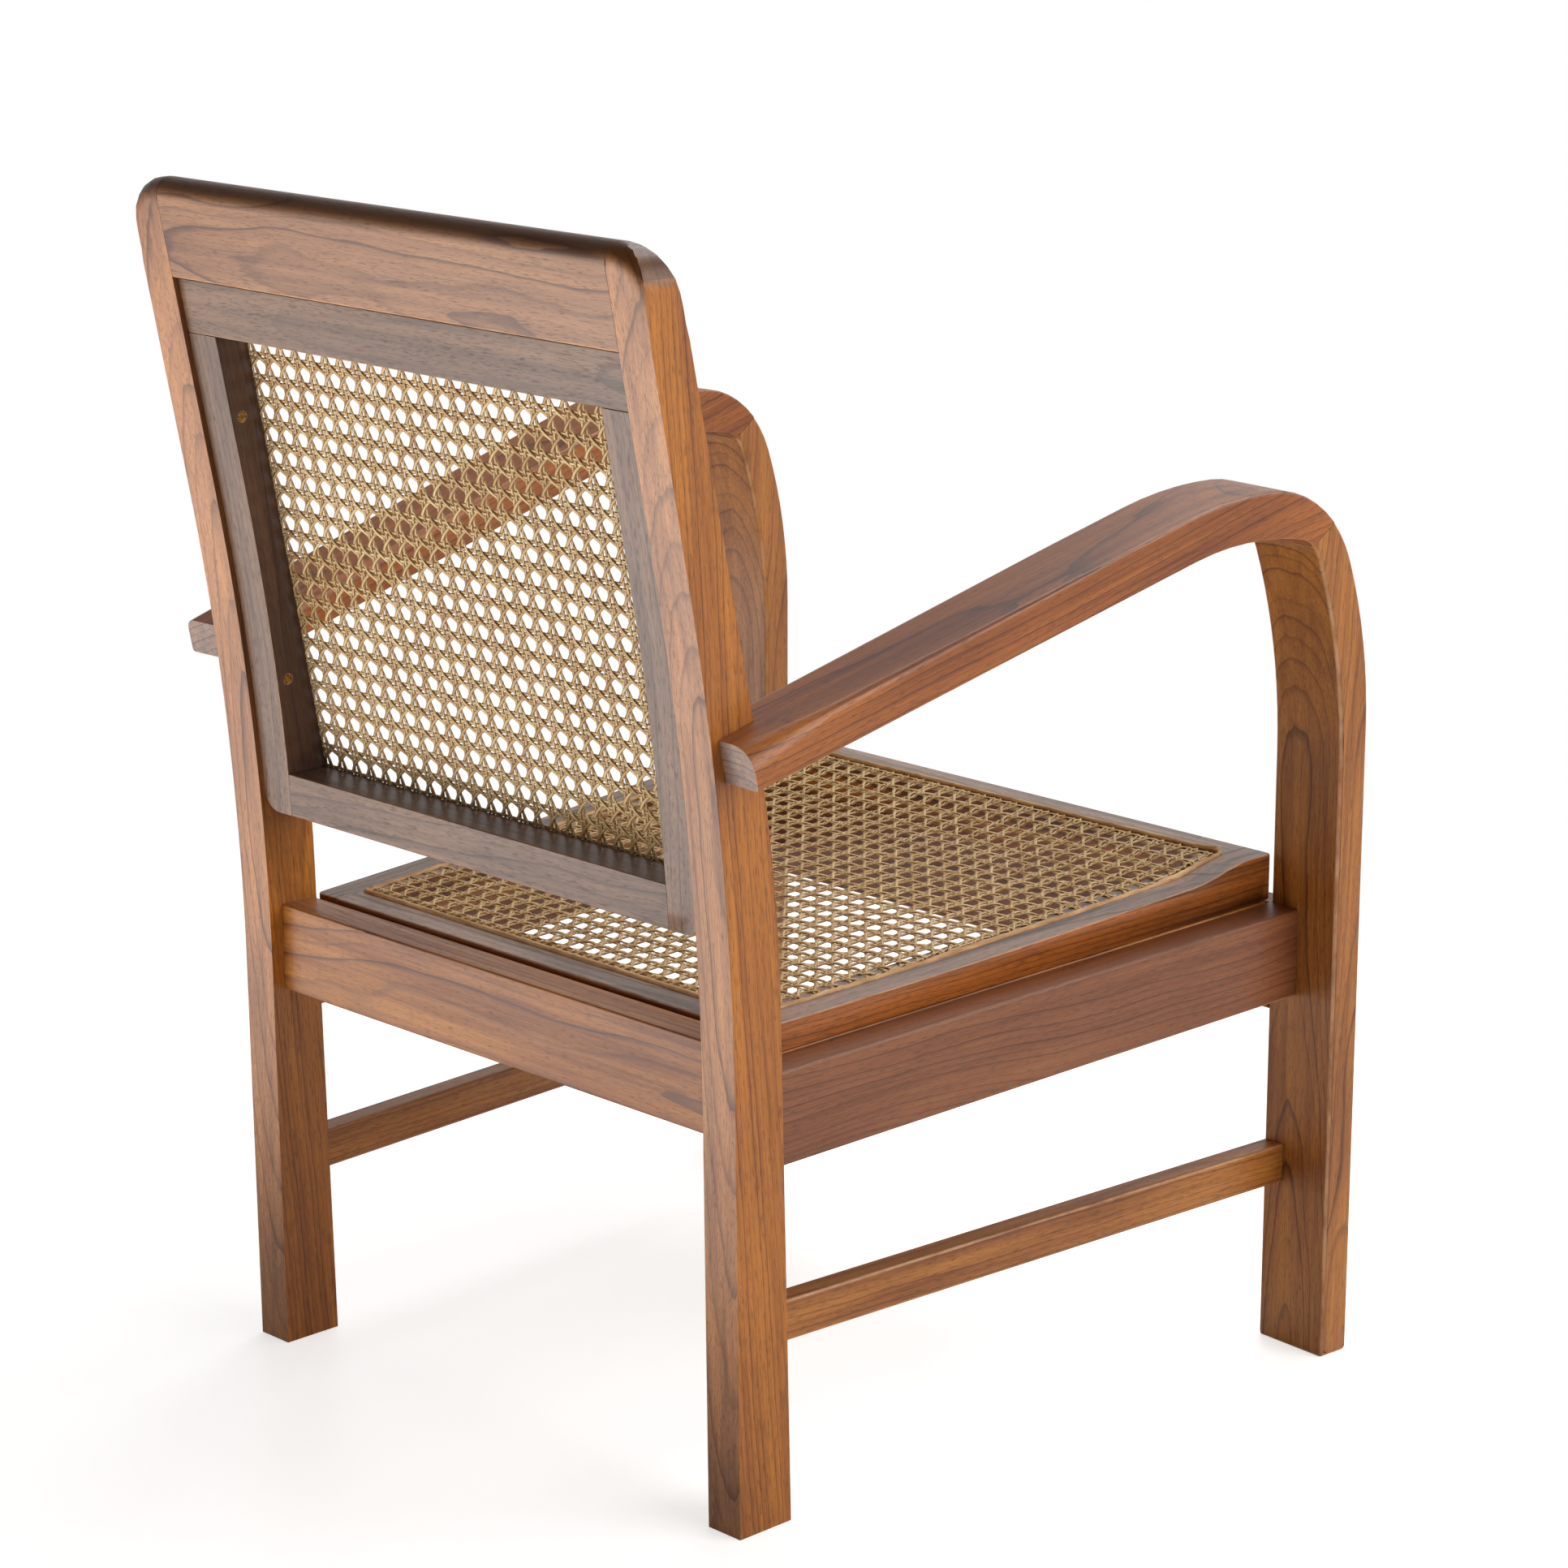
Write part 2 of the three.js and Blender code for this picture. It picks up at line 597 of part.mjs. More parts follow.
// Cross pieces of the frame
const rearSeatRail = fuse(block(...rearRailRanges, atRearRail), rearRailTenonBar(0));
const frontSeatRail = fuse(
  prism(frontRailPlan, frontRail.height, fromAbove(frontRailTop)),
  frontRailTenonBar(0),
);
const crestRail = fuse(
  legSweep(-betweenLegs, betweenLegs)
    .intersect(backRim)
    .intersect(block(everywhere, [crestBottom, overrun], everywhere, fromBehind(0))),
  crestTenonBar(0),
);

// Back panel: its back is bent as the rear legs are, and its front, which carries the cane, is flat.
const panelFrontLow = legBackAt(panelBottom, panelSetIn) + panelDepth.bottom;
const panelFrontHigh = legBackAt(panelTop, panelSetIn) + panelDepth.top;
const panelFrontAt = (z) =>
  THREE.MathUtils.mapLinear(z, panelBottom, panelTop, panelFrontLow, panelFrontHigh);
const panelFrontLine = (proud) => [0, chairHeight].map((z) => new THREE.Vector2(panelFrontAt(z) + proud, z));
const panelSlab = (from, to) =>
  prism(
    [...panelFrontLine(from), ...panelFrontLine(to).reverse()],
    betweenLegs * 2,
    fromSide(betweenLegs),
  );
const throughBack = (corners) => prism(outline(corners), overrun * 2, fromBehind(-overrun));
const rectangle = (half, bottom, top, bottomRadius, topRadius) => [
  [-half, bottom, bottomRadius],
  [half, bottom, bottomRadius],
  [half, top, topRadius],
  [-half, top, topRadius],
];
const panelHole = throughBack(rectangle(openingHalf, openingBottom, openingTop));
const grooveInnerRadius = grooveCornerRadius - grooveWidth;
const grooveBand = (land, gap, through) =>
  carve(
    through(land + grooveWidth - gap, grooveCornerRadius - gap),
    through(land + gap, grooveInnerRadius + gap),
  );
const throughPanel = (inset, radius) =>
  throughBack(rectangle(openingHalf + inset, openingBottom - inset, openingTop + inset, radius, radius));
const panelGroove = grooveBand(panelGrooveLand, 0, throughPanel).intersect(
  panelSlab(-grooveDepth, grooveDepth),
);
const wholePanel = prism(
  [...legBackEdge(panelSetIn), ...panelFrontLine(0).reverse()],
  betweenLegs * 2,
  fromSide(betweenLegs),
).intersect(throughBack(rectangle(betweenLegs, panelBottom, panelTop, panelCornerRadius)));
const aboveStiles = (gap) => block(everywhere, [openingTop - gap, overrun], everywhere, fromBehind(0));
const bottomRailZone = (gap) =>
  block([-openingHalf - gap, openingHalf + gap], [-overrun, openingBottom + gap], everywhere, fromBehind(0));
const panelTenonSheet = (growth) =>
  panelSlab(-panelTenon.setIn - panelTenon.thickness - growth, growth - panelTenon.setIn);
const bottomTenon = (growth) =>
  panelTenonSheet(growth).intersect(
    throughBack(
      rectangle(
        openingHalf + panelTenon.length + growth,
        panelBottom + panelTenon.shoulder - growth,
        openingBottom - panelTenon.shoulder + growth,
      ),
    ),
  );
const stileTenon = (growth) =>
  panelTenonSheet(growth).intersect(
    block(
      [openingHalf + panelTenon.shoulder - growth, betweenLegs - panelTenon.shoulder + growth],
      [openingTop - panelTenon.shoulder, openingTop + panelTenon.length + growth],
      everywhere,
      fromBehind(0),
    ),
  );
const panelStilePiece = carve(
  fuse(
    carve(wholePanel, panelHole, aboveStiles(jointGap), bottomRailZone(jointGap), rightOfMiddle),
    stileTenon(0),
  ),
  panelGroove,
  bottomTenon(jointGap),
  ...screwHoles,
);
const panelTopPiece = carve(
  wholePanel.intersect(aboveStiles(0)),
  panelGroove,
  stileTenon(jointGap),
  mirrored(stileTenon(jointGap)),
);
const panelBottomPiece = carve(
  fuse(wholePanel.intersect(bottomRailZone(0)), bottomTenon(0)),
  panelGroove,
);

// Reeds: the two long ones run the whole way, the two cross ones fit between them.
const reedWidth = grooveWidth - caneThickness - jointGap * 3;
const reedBand = (land, through) =>
  carve(
    through(land + grooveWidth - jointGap, grooveCornerRadius - jointGap),
    through(land + grooveWidth - jointGap - reedWidth, 0),
  );
const panelReeds = reedBand(panelGrooveLand, throughPanel).intersect(
  panelSlab(jointGap - grooveDepth, reedProud),
);
const reedInnerHalf = openingHalf + panelGrooveLand + grooveWidth - jointGap - reedWidth;
const crossReedHalf = reedInnerHalf - jointGap;
const besideZone = block([reedInnerHalf, overrun], everywhere, everywhere, fromBehind(0));
const middleZone = block([-crossReedHalf, crossReedHalf], everywhere, everywhere, fromBehind(0));
const backMiddle = (openingBottom + openingTop) / 2;
const upperZone = block(everywhere, [backMiddle, overrun], everywhere, fromBehind(0));
const backReedSide = panelReeds.intersect(besideZone);
const backReedTop = panelReeds.intersect(middleZone).intersect(upperZone);
const backReedBottom = carve(panelReeds.intersect(middleZone), upperZone);

// Cane: a thin net over the frame, whose rim turns down into the groove beside the reed.
// Corners of a cell and of its gap go round the same way, so each pair of them bounds one facet. A net
// whose two plan directions and lift are left-handed has its facets turned.
function net({ columns, rows, plan, place, turned }) {
  const positions = [];
  const corner = (i, j, lift, inset) => place(...plan(i / columns, j / rows, inset), lift);
  const quad = (a, b, c, d) => {
    const order = turned ? [a, c, b, a, d, c] : [a, b, c, a, c, d];
    order.forEach((point) => positions.push(...point));
  };
  const bar = caneBarShare;
  const loop = (i, j, near, lift, inset) => [
    corner(i + near, j + near, lift, inset),
    corner(i + 1 - near, j + near, lift, inset),
    corner(i + 1 - near, j + 1 - near, lift, inset),
    corner(i + near, j + 1 - near, lift, inset),
  ];
  const top = jointGap + caneThickness;
  for (let i = 0; i < columns; i++) {
    for (let j = 0; j < rows; j++) {
      const upper = loop(i, j, 0, top, 0);
      const upperGap = loop(i, j, bar, top, 0);
      const lower = loop(i, j, 0, jointGap, caneThickness);
      const lowerGap = loop(i, j, bar, jointGap, caneThickness);
      upper.forEach((_, k) => {
        const next = (k + 1) % upper.length;
        quad(upper[k], upper[next], upperGap[next], upperGap[k]);
        quad(lower[next], lower[k], lowerGap[k], lowerGap[next]);
        quad(upperGap[k], upperGap[next], lowerGap[next], lowerGap[k]);
      });
    }
  }
  const rim = [
    ...Array.from({ length: columns }, (_, i) => [i, 0]),
    ...Array.from({ length: rows }, (_, j) => [columns, j]),
    ...Array.from({ length: columns }, (_, i) => [columns - i, rows]),
    ...Array.from({ length: rows }, (_, j) => [0, rows - j]),
  ];
  const foot = jointGap - grooveDepth;
  const levels = [
    [top, 0],
    [foot, 0],
    [foot, caneThickness],
    [jointGap, caneThickness],
  ];
  rim.forEach(([i, j], index) => {
    const [nextI, nextJ] = rim[(index + 1) % rim.length];
    levels.slice(1).forEach(([lift, inset], step) => {
      const [liftBefore, insetBefore] = levels[step];
      quad(
        corner(nextI, nextJ, liftBefore, insetBefore),
        corner(i, j, liftBefore, insetBefore),
        corner(i, j, lift, inset),
        corner(nextI, nextJ, lift, inset),
      );
    });
  });
  const geometry = new THREE.BufferGeometry();
  geometry.setAttribute("position", new THREE.Float32BufferAttribute(positions, 3));
  return solid(geometry);
}

const netCell = canePitch * netPitches;
const caneReach = jointGap + caneThickness; // from the groove's inner wall to the outside of the cane
const backCaneHalf = openingHalf + panelGrooveLand + caneReach;
const backCaneBottom = openingBottom - panelGrooveLand - caneReach;
const backCaneTop = openingTop + panelGrooveLand + caneReach;
const backCane = net({
  columns: Math.round((backCaneHalf * 2) / netCell),
  rows: Math.round((backCaneTop - backCaneBottom) / netCell),
  plan: (across, up, inset) => [
    (across * 2 - 1) * (backCaneHalf - inset),
    THREE.MathUtils.lerp(backCaneBottom + inset, backCaneTop - inset, up),
  ],
  place: (x, z, lift) => [x, -panelFrontAt(z) - lift, z],
  turned: false,
});

// Drop-in seat: members cut from one dished board, seen from the side as a wedge.
const rearRailFront = rearRail.back + rearRail.thickness;
const seatBack = Math.max(legFrontAt(rearRailTop), rearRailFront) + seatBackGap;
const seatFront = frontLegBack + seatFrontReach;
const seatBottomAt = (distance) => railTopAt(distance) + ledge.proud + jointGap;
const seatTopBack = seatBottomAt(seatBack) + seatThickness;
const seatNose = seatScoop.turn + seatDish.lean + seatDish.turn;
const noseRun =
  seatScoop.radius * (Math.sin(seatNose * degree) - Math.sin((seatDish.lean + seatDish.turn) * degree)) +
  seatRampRun * Math.cos(seatNose * degree) +
  seatNoseRadius * Math.sin(seatNose * degree) +
  seatNoseFlat;
const dishLength = seatFront - seatBack - noseRun;
const seatTopLine = trace(seatBack, seatTopBack, seatDish.lean, [
  { radius: dishLength / (seatDish.turn * degree), turn: seatDish.turn },
  seatScoop,
  { run: seatRampRun },
  { radius: seatNoseRadius, turn: -seatNose },
  { toX: seatFront },
]);
const seatHalf = (distance, inset) => insideHalf(distance) - seatGap - inset / Math.cos(splay * degree);
const seatPlan = (inset, radius) => [
  [-seatHalf(seatBack + inset, inset), seatBack + inset, radius],
  [seatHalf(seatBack + inset, inset), seatBack + inset, radius],
  [seatHalf(seatFront - inset, inset), seatFront - inset, radius],
  [-seatHalf(seatFront - inset, inset), seatFront - inset, radius],
];
const throughSeat = (inset, radius) =>
  prism(outline(seatPlan(inset, radius)), overrun * 2, fromAbove(overrun));
const acrossSeat = (points) => prism(points, overrun * 2, fromSide(overrun));
const seatBand = (from, to) =>
  acrossSeat([
    ...seatTopLine.map((point) => new THREE.Vector2(point.x, point.y + from)),
    ...seatTopLine.map((point) => new THREE.Vector2(point.x, point.y + to)).reverse(),
  ]);
const seatWedge = acrossSeat([
  new THREE.Vector2(seatBack, seatBottomAt(seatBack)),
  new THREE.Vector2(seatFront, seatBottomAt(seatFront)),
  ...[...seatTopLine].reverse(),
]);
const seatLand = seatGrooveMargin + grooveWidth;
const throughSeatRing = (inset, radius) => throughSeat(seatLand - inset, radius);
const seatGroove = grooveBand(0, 0, throughSeatRing).intersect(seatBand(-grooveDepth, grooveDepth));
const wholeSeat = carve(
  seatWedge.intersect(throughSeat(0, seatCornerRadius)),
  throughSeat(seatMemberWidth, 0),
  seatGroove,
);
// Everything between two lines that lie an inset in from the seat's sides
const withinSeat = (inset) => {
  const reach = seatFront * 2;
  const corners = [
    [-seatHalf(0, inset), 0],
    [seatHalf(0, inset), 0],
    [seatHalf(reach, inset), reach],
    [-seatHalf(reach, inset), reach],
  ];
  return prism(outline(corners), overrun * 2, fromAbove(overrun));
};
const acrossZone = (from, to) => block(everywhere, [from, to], everywhere, fromAbove(0));
const backZone = (gap) =>
  withinSeat(seatShoulder - gap).intersect(acrossZone(-overrun, seatBack + seatMemberWidth + gap));
const frontZone = (gap) =>
  withinSeat(seatShoulder - gap).intersect(acrossZone(seatFront - seatMemberWidth - gap, overrun));
const seatTenonBar = (distance, growth) => {
  const bottom = seatBottomAt(distance) + seatTenon.lift;
  const from = distance - seatMemberWidth / 2 + seatTenon.shoulder;
  const reach = seatHalf(distance, seatShoulder) + seatTenon.length;
  const ranges = [
    [-reach, reach],
    [from, from + seatMemberWidth - seatTenon.shoulder * 2],
    [-bottom - seatTenon.height, -bottom],
  ];
  return block(...grown(ranges, growth), fromAbove(0));
};
const seatBackMiddle = seatBack + seatMemberWidth / 2;
const seatFrontMiddle = seatFront - seatMemberWidth / 2;
const seatBackMember = fuse(wholeSeat.intersect(backZone(0)), seatTenonBar(seatBackMiddle, 0));
const seatFrontMember = fuse(wholeSeat.intersect(frontZone(0)), seatTenonBar(seatFrontMiddle, 0));
const seatSideMember = carve(
  wholeSeat,
  backZone(jointGap),
  frontZone(jointGap),
  seatTenonBar(seatBackMiddle, jointGap),
  seatTenonBar(seatFrontMiddle, jointGap),
  rightOfMiddle,
);

const seatReeds = reedBand(0, throughSeatRing).intersect(seatBand(jointGap - grooveDepth, reedProud));
const reedLine = seatGrooveMargin + jointGap + reedWidth;
const seatMiddle = (seatBack + seatFront) / 2;
const crossReeds = seatReeds.intersect(withinSeat(reedLine + jointGap));
const seatReedSide = carve(seatReeds, withinSeat(reedLine), rightOfMiddle);
const seatReedBack = crossReeds.intersect(acrossZone(-overrun, seatMiddle));
const seatReedFront = crossReeds.intersect(acrossZone(seatMiddle, overrun));

const seatCaneInset = seatLand - caneReach;
const seatCaneBack = seatBack + seatCaneInset;
const seatCaneFront = seatFront - seatCaneInset;
const seatCaneRows = Math.round((seatCaneFront - seatCaneBack) / netCell);
const seatSurface = (distance) => between(seatTopLine, distance, "x", "y");
// The net is straight from row to row, so each row is lifted by the most that the wood beside it is crowned.
const crown = (from, to) => {
  const straight = (x) => THREE.MathUtils.mapLinear(x, from, to, seatSurface(from), seatSurface(to));
  const inside = seatTopLine.filter((point) => point.x > from && point.x < to);
  return Math.max(0, ...inside.map((point) => point.y - straight(point.x)));
};
const rowSpacing = (seatCaneFront - seatCaneBack) / seatCaneRows;
const seatNetLine = Array.from({ length: seatCaneRows + 1 }, (_, row) => {
  const distance = seatCaneBack + rowSpacing * row;
  const behind = Math.max(distance - rowSpacing, seatCaneBack);
  const ahead = Math.min(distance + rowSpacing, seatCaneFront);
  const lift = Math.max(crown(behind, distance), crown(distance, ahead));
  return new THREE.Vector2(distance, seatSurface(distance) + lift);
});
const seatCane = net({
  columns: Math.round((seatHalf(seatMiddle, seatCaneInset) * 2) / netCell),
  rows: seatCaneRows,
  plan: (across, along, inset) => {
    const distance = THREE.MathUtils.lerp(seatCaneBack + inset, seatCaneFront - inset, along);
    return [(across * 2 - 1) * seatHalf(distance, seatCaneInset + inset), distance];
  },
  place: (x, distance, lift) => [x, -distance, between(seatNetLine, distance, "x", "y") + lift],
  turned: true,
});

// One named mesh with its own finish
function mesh(name, piece, finish) {
  const { numProp, vertProperties, triVerts } = piece.getMesh();
  const geometry = new THREE.BufferGeometry();
  geometry.setAttribute("position", new THREE.BufferAttribute(vertProperties, numProp));
  geometry.setIndex(new THREE.BufferAttribute(triVerts, 1));
  const flat = geometry.toNonIndexed();
  flat.computeVertexNormals();
  const made = new THREE.Mesh(flat, new THREE.MeshStandardMaterial(finish));
  made.name = name;
  return made;
}

// The piece on the sitter's left and its mirror image on the right
function pair(name, piece, finish) {
  const left = mesh(`${name}_left`, piece, finish);
  const right = mesh(`${name}_right`, piece, finish);
  right.scale.x = -1;
  return [left, right];
}

const frame = new THREE.Group();
frame.add(
  ...pair("rear_leg", rearLeg, teak),
  ...pair("front_leg", frontLeg, teak),
  mesh("arm_left", armPiece(leftArm, armOuterRound), teak),
  mesh("arm_right", mirrored(armPiece(rightArm, armEndRound, armOuterRound)), teak),
  ...pair("side_rail", sideRail, teak),
  ...pair("stretcher", stretcherBar, teak),
  ...pair("seat_ledge", ledgeBar, teakDark),
  mesh("crest_rail", crestRail, teak),
  mesh("rear_seat_rail", rearSeatRail, teak),
  mesh("front_seat_rail", frontSeatRail, teak),
);

const backPanel = new THREE.Group();
backPanel.add(
  ...pair("panel_stile", panelStilePiece, teak),
  mesh("panel_top_rail", panelTopPiece, teak),
  mesh("panel_bottom_rail", panelBottomPiece, teak),
  mesh("back_cane", backCane, cane),
  ...pair("back_reed", backReedSide, reed),
  mesh("back_reed_top", backReedTop, reed),
  mesh("back_reed_bottom", backReedBottom, reed),
  ...pair("panel_screw_upper", screwSolid(screwHeights.upper), brass),
  ...pair("panel_screw_lower", screwSolid(screwHeights.lower), brass),
);

const seat = new THREE.Group();
seat.add(
  ...pair("seat_side_member", seatSideMember, teak),
  mesh("seat_front_member", seatFrontMember, teak),
  mesh("seat_back_member", seatBackMember, teak),
  mesh("seat_cane", seatCane, cane),
  ...pair("seat_reed", seatReedSide, reed),
  mesh("seat_reed_front", seatReedFront, reed),
  mesh("seat_reed_back", seatReedBack, reed),
);

// The chair stands on z = 0, centred on its own outline.
const chair = new THREE.Group();
chair.add(frame, backPanel, seat);
const bounds = new THREE.Box3().setFromObject(chair);
chair.position.y = -(bounds.min.y + bounds.max.y) / 2;

export default chair;
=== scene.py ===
"""Looks of a low teak armchair with a caned back panel and a drop-in caned seat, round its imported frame."""

import math

import bmesh
import bpy
import numpy as np
from mathutils import Matrix, Vector
from mathutils.bvhtree import BVHTree


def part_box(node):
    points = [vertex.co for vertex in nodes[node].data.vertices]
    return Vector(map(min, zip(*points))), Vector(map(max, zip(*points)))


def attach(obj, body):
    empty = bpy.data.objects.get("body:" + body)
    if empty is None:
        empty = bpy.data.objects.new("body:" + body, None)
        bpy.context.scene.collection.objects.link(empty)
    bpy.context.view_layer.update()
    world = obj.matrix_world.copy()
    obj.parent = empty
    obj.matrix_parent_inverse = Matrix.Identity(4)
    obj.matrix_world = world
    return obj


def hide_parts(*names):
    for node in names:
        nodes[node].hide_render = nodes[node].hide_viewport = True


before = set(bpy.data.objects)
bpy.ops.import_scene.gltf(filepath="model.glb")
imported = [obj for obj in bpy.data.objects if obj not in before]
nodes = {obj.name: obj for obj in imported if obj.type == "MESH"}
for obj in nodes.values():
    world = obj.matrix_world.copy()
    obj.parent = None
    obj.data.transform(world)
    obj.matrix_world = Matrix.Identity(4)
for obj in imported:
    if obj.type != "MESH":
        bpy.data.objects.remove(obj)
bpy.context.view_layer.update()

# Arrises of the boards, in metres and degrees
MERGE_REACH = 4e-6
FLAT_ANGLE = 0.4  # faces that meet flatter than this become one
SHORTEST_EDGE = 0.0003
ARRIS_ANGLE = 28
ARRIS_SEGMENTS = 3
JOINT_REACH = 0.0007  # an edge nearer than this to another board is in a joint and stays sharp
SCREW_ARRIS = 0.0003

# Height above the floor, in metres, over which the inner sides above the seat fall into shade
SHADE_START, SHADE_FULL = 0.4, 0.43

# Cane, in metres
CANE_PITCH = 0.0159
STRAND_THICKNESS = 0.0008
STRAND_WIDTH = 0.0022
SLANT_WIDTH = 0.0025
SLANT_SWAY = 0.00045  # how far a slanting strand is drawn in round each crossing
PAIR_SPACING = 0.0034  # between the middles of the two strands of a pair
CROSSING_LIFT = 0.62  # how far a strand of a pair rises at a crossing, in strand thicknesses
SLANT_LIFT = 2.1  # how much further a slanting strand rises
UNEVEN_LIFT, UNEVEN_WAVE, UNEVEN_SWAY = 0.00008, 0.00004, 0.00016  # of one strand beside the next
SHEET_LIFT = 0.0005
SHEET_CORNER = 0.0035  # radius of the sheet's corners
GROOVE_SINK = 0.0035
GROOVE_REACH = 0.0014  # a strand sinks over this distance from the sheet's edge
SETTLING_REACH = 0.012  # the weave grows level over this distance from the sheet's edge

# Reeds, in metres
REED_GAP = 0.0003
REED_WIDTH = 0.0044
REED_DEPTH = 0.0047
REED_PROUD = 0.0011
REED_DOME = 0.0019
REED_STOP = 0.0016  # how far a long reed stops short of the cross reed's far side
REED_WAVER = 0.00022
GROOVE_RADIUS = 0.0097  # of the groove's outer corner
GROOVE_RIM = 0.00205
KNUCKLE_SPACING = 0.031  # knuckles are where the plant's leaves grew
KNUCKLE_LENGTH = 0.0022
KNUCKLE_SWELL = 0.00045
FRONT_SPRING = 0.0032  # how far the front reed's end on the right stands up
CROSS_SAMPLES = 150

# Floor and camera, in metres and degrees
FLOOR_HALF = 30
FLOOR_GLOW = 0.63
FADE_START, FADE_END = 0.75, 1.7
CAMERA_PLACE = (-2.1421, 2.03564, 1.1963)
CAMERA_AZIMUTH, CAMERA_ELEVATION = 225.717, 14.758
CAMERA_LENS = 100.11  # millimetres, on a sensor 36 millimetres wide


# Meshes

def grid_mesh(name, points, closed=(False, False), uv=None, values=None, capped=False):
    """A mesh from an array of grids, (grids, rows, columns, 3). Each grid is joined quad by quad along its
    rows and columns, and round again where closed says so. Capped closes both ends of a tube at the mean
    point of its end ring. uv is (grids, rows, columns, 2); values is one number per grid, kept as the
    attribute strand."""
    if capped:
        ends = points.mean(axis=2, keepdims=True).repeat(points.shape[2], axis=2)
        points = np.concatenate([ends[:, :1], points, ends[:, -1:]], axis=1)
        if uv is not None:
            uv = np.concatenate([uv[:, :1], uv, uv[:, -1:]], axis=1)
    grids, rows, columns, _ = points.shape
    row_steps = np.arange(rows if closed[0] else rows - 1)
    column_steps = np.arange(columns if closed[1] else columns - 1)
    g, r, c = np.meshgrid(np.arange(grids), row_steps, column_steps, indexing="ij")

    def index(row, column):
        return (g * rows + row % rows) * columns + column % columns

    faces = np.stack([index(r, c), index(r, c + 1), index(r + 1, c + 1), index(r + 1, c)], -1).reshape(-1, 4)
    mesh = bpy.data.meshes.new(name)
    mesh.vertices.add(grids * rows * columns)
    mesh.vertices.foreach_set("co", points.reshape(-1).astype(np.float32))
    mesh.loops.add(faces.size)
    mesh.loops.foreach_set("vertex_index", faces.reshape(-1).astype(np.int32))
    mesh.polygons.add(len(faces))
    mesh.polygons.foreach_set("loop_start", np.arange(0, faces.size, 4, dtype=np.int32))
    mesh.update(calc_edges=True)
    if uv is not None:
        corner = uv.reshape(-1, 2)[faces.reshape(-1)]
        mesh.uv_layers.new(name="UVMap").data.foreach_set("uv", corner.reshape(-1).astype(np.float32))
    if values is not None:
        spread = np.repeat(values, rows * columns).astype(np.float32)
        mesh.attributes.new("strand", "FLOAT", "POINT").data.foreach_set("value", spread)
    if capped:
        solid = bmesh.new()
        solid.from_mesh(mesh)
        bmesh.ops.remove_doubles(solid, verts=solid.verts, dist=1e-7)
        solid.to_mesh(mesh)
        solid.free()
    mesh.shade_smooth()
    piece = bpy.data.objects.new(name, mesh)
    bpy.context.scene.collection.objects.link(piece)
    return piece


def finish_piece(piece, body, slot, material, *replaced):
    """Gives a piece its material and its body, and hides the CAD nodes that it stands for. slot is not used.
    """
    piece.data.materials.clear()
    piece.data.materials.append(material)
    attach(piece, body)
    if replaced:
        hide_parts(*replaced)
    return piece


# Nodes

def new_group(name, inputs, outputs):
    """An empty shader group: inputs are (name, kind, default), outputs are (name, kind)."""
    tree = bpy.data.node_groups.new(name, "ShaderNodeTree")
    for label, kind, default in inputs:
        socket = tree.interface.new_socket(label, in_out="INPUT", socket_type="NodeSocket" + kind)
        if default is not None:
            socket.default_value = default
    for label, kind in outputs:
        tree.interface.new_socket(label, in_out="OUTPUT", socket_type="NodeSocket" + kind)
    start = tree.nodes.new("NodeGroupInput")
    end = tree.nodes.new("NodeGroupOutput")
    return tree, start.outputs, end.inputs


def fill(tree, socket, value):
    """Joins an input to a socket, or sets it to a value."""
    if isinstance(value, bpy.types.NodeSocket):
        tree.links.new(value, socket)
    elif socket.type == "RGBA" and len(value) == 3:
        socket.default_value = (*value, 1)
    else:
        socket.default_value = value


def add(tree, kind, links=None, **settings):
    """A node with its settings, its inputs set to values or joined to sockets."""
    node = tree.nodes.new(kind)
    for key, value in settings.items():
        setattr(node, key, value)
    for key, value in (links or {}).items():
        fill(tree, node.inputs[key], value)
    return node


def calc(tree, operation, *values, clamp=False):
    """The result of one sum on sockets or numbers."""
    node = add(tree, "ShaderNodeMath", operation=operation, use_clamp=clamp)
    for socket, value in zip(node.inputs, values):
        fill(tree, socket, value)
    return node.outputs[0]


def swing(tree, value, amount):
    """A texture's value made to swing round nought: amount times the value less a half."""
    return calc(tree, "MULTIPLY", calc(tree, "SUBTRACT", value, 0.5), amount)


def blend(tree, factor, a, b):
    """Colour a turned into colour b by the factor."""
    node = add(tree, "ShaderNodeMix", data_type="RGBA", blend_type="MIX")
    for index, value in ((0, factor), (6, a), (7, b)):
        fill(tree, node.inputs[index], value)
    return node.outputs[2]


def ramp(tree, value, stops):
    """Grey ramp: stops are (position, level)."""
    node = add(tree, "ShaderNodeValToRGB", {0: value})
    elements = node.color_ramp.elements
    while len(elements) < len(stops):
        elements.new(0.5)
    for element, (position, level) in zip(elements, stops):
        element.position = position
        element.color = (level, level, level, 1)
    return node.outputs[0]


def noise(tree, place, detail=2.0, roughness=0.5):
    """Cloudy noise whose size is set by how far the place has been stretched."""
    links = {"Vector": place, "Scale": 1.0, "Detail": detail, "Roughness": roughness}
    return add(tree, "ShaderNodeTexNoise", links).outputs[0]


def stretch(tree, place, scale):
    """A place multiplied by a scale for each axis: the larger, the finer the texture that reads it."""
    return add(tree, "ShaderNodeVectorMath", {0: place, 1: scale}, operation="MULTIPLY").outputs[0]


def srgb(r, g, b):
    """A colour as seen on the screen, 0 to 255, in linear light."""
    level = np.array([r, g, b]) / 255
    return tuple(np.where(level <= 0.04045, level / 12.92, ((level + 0.055) / 1.055) ** 2.4).tolist())


# Teak

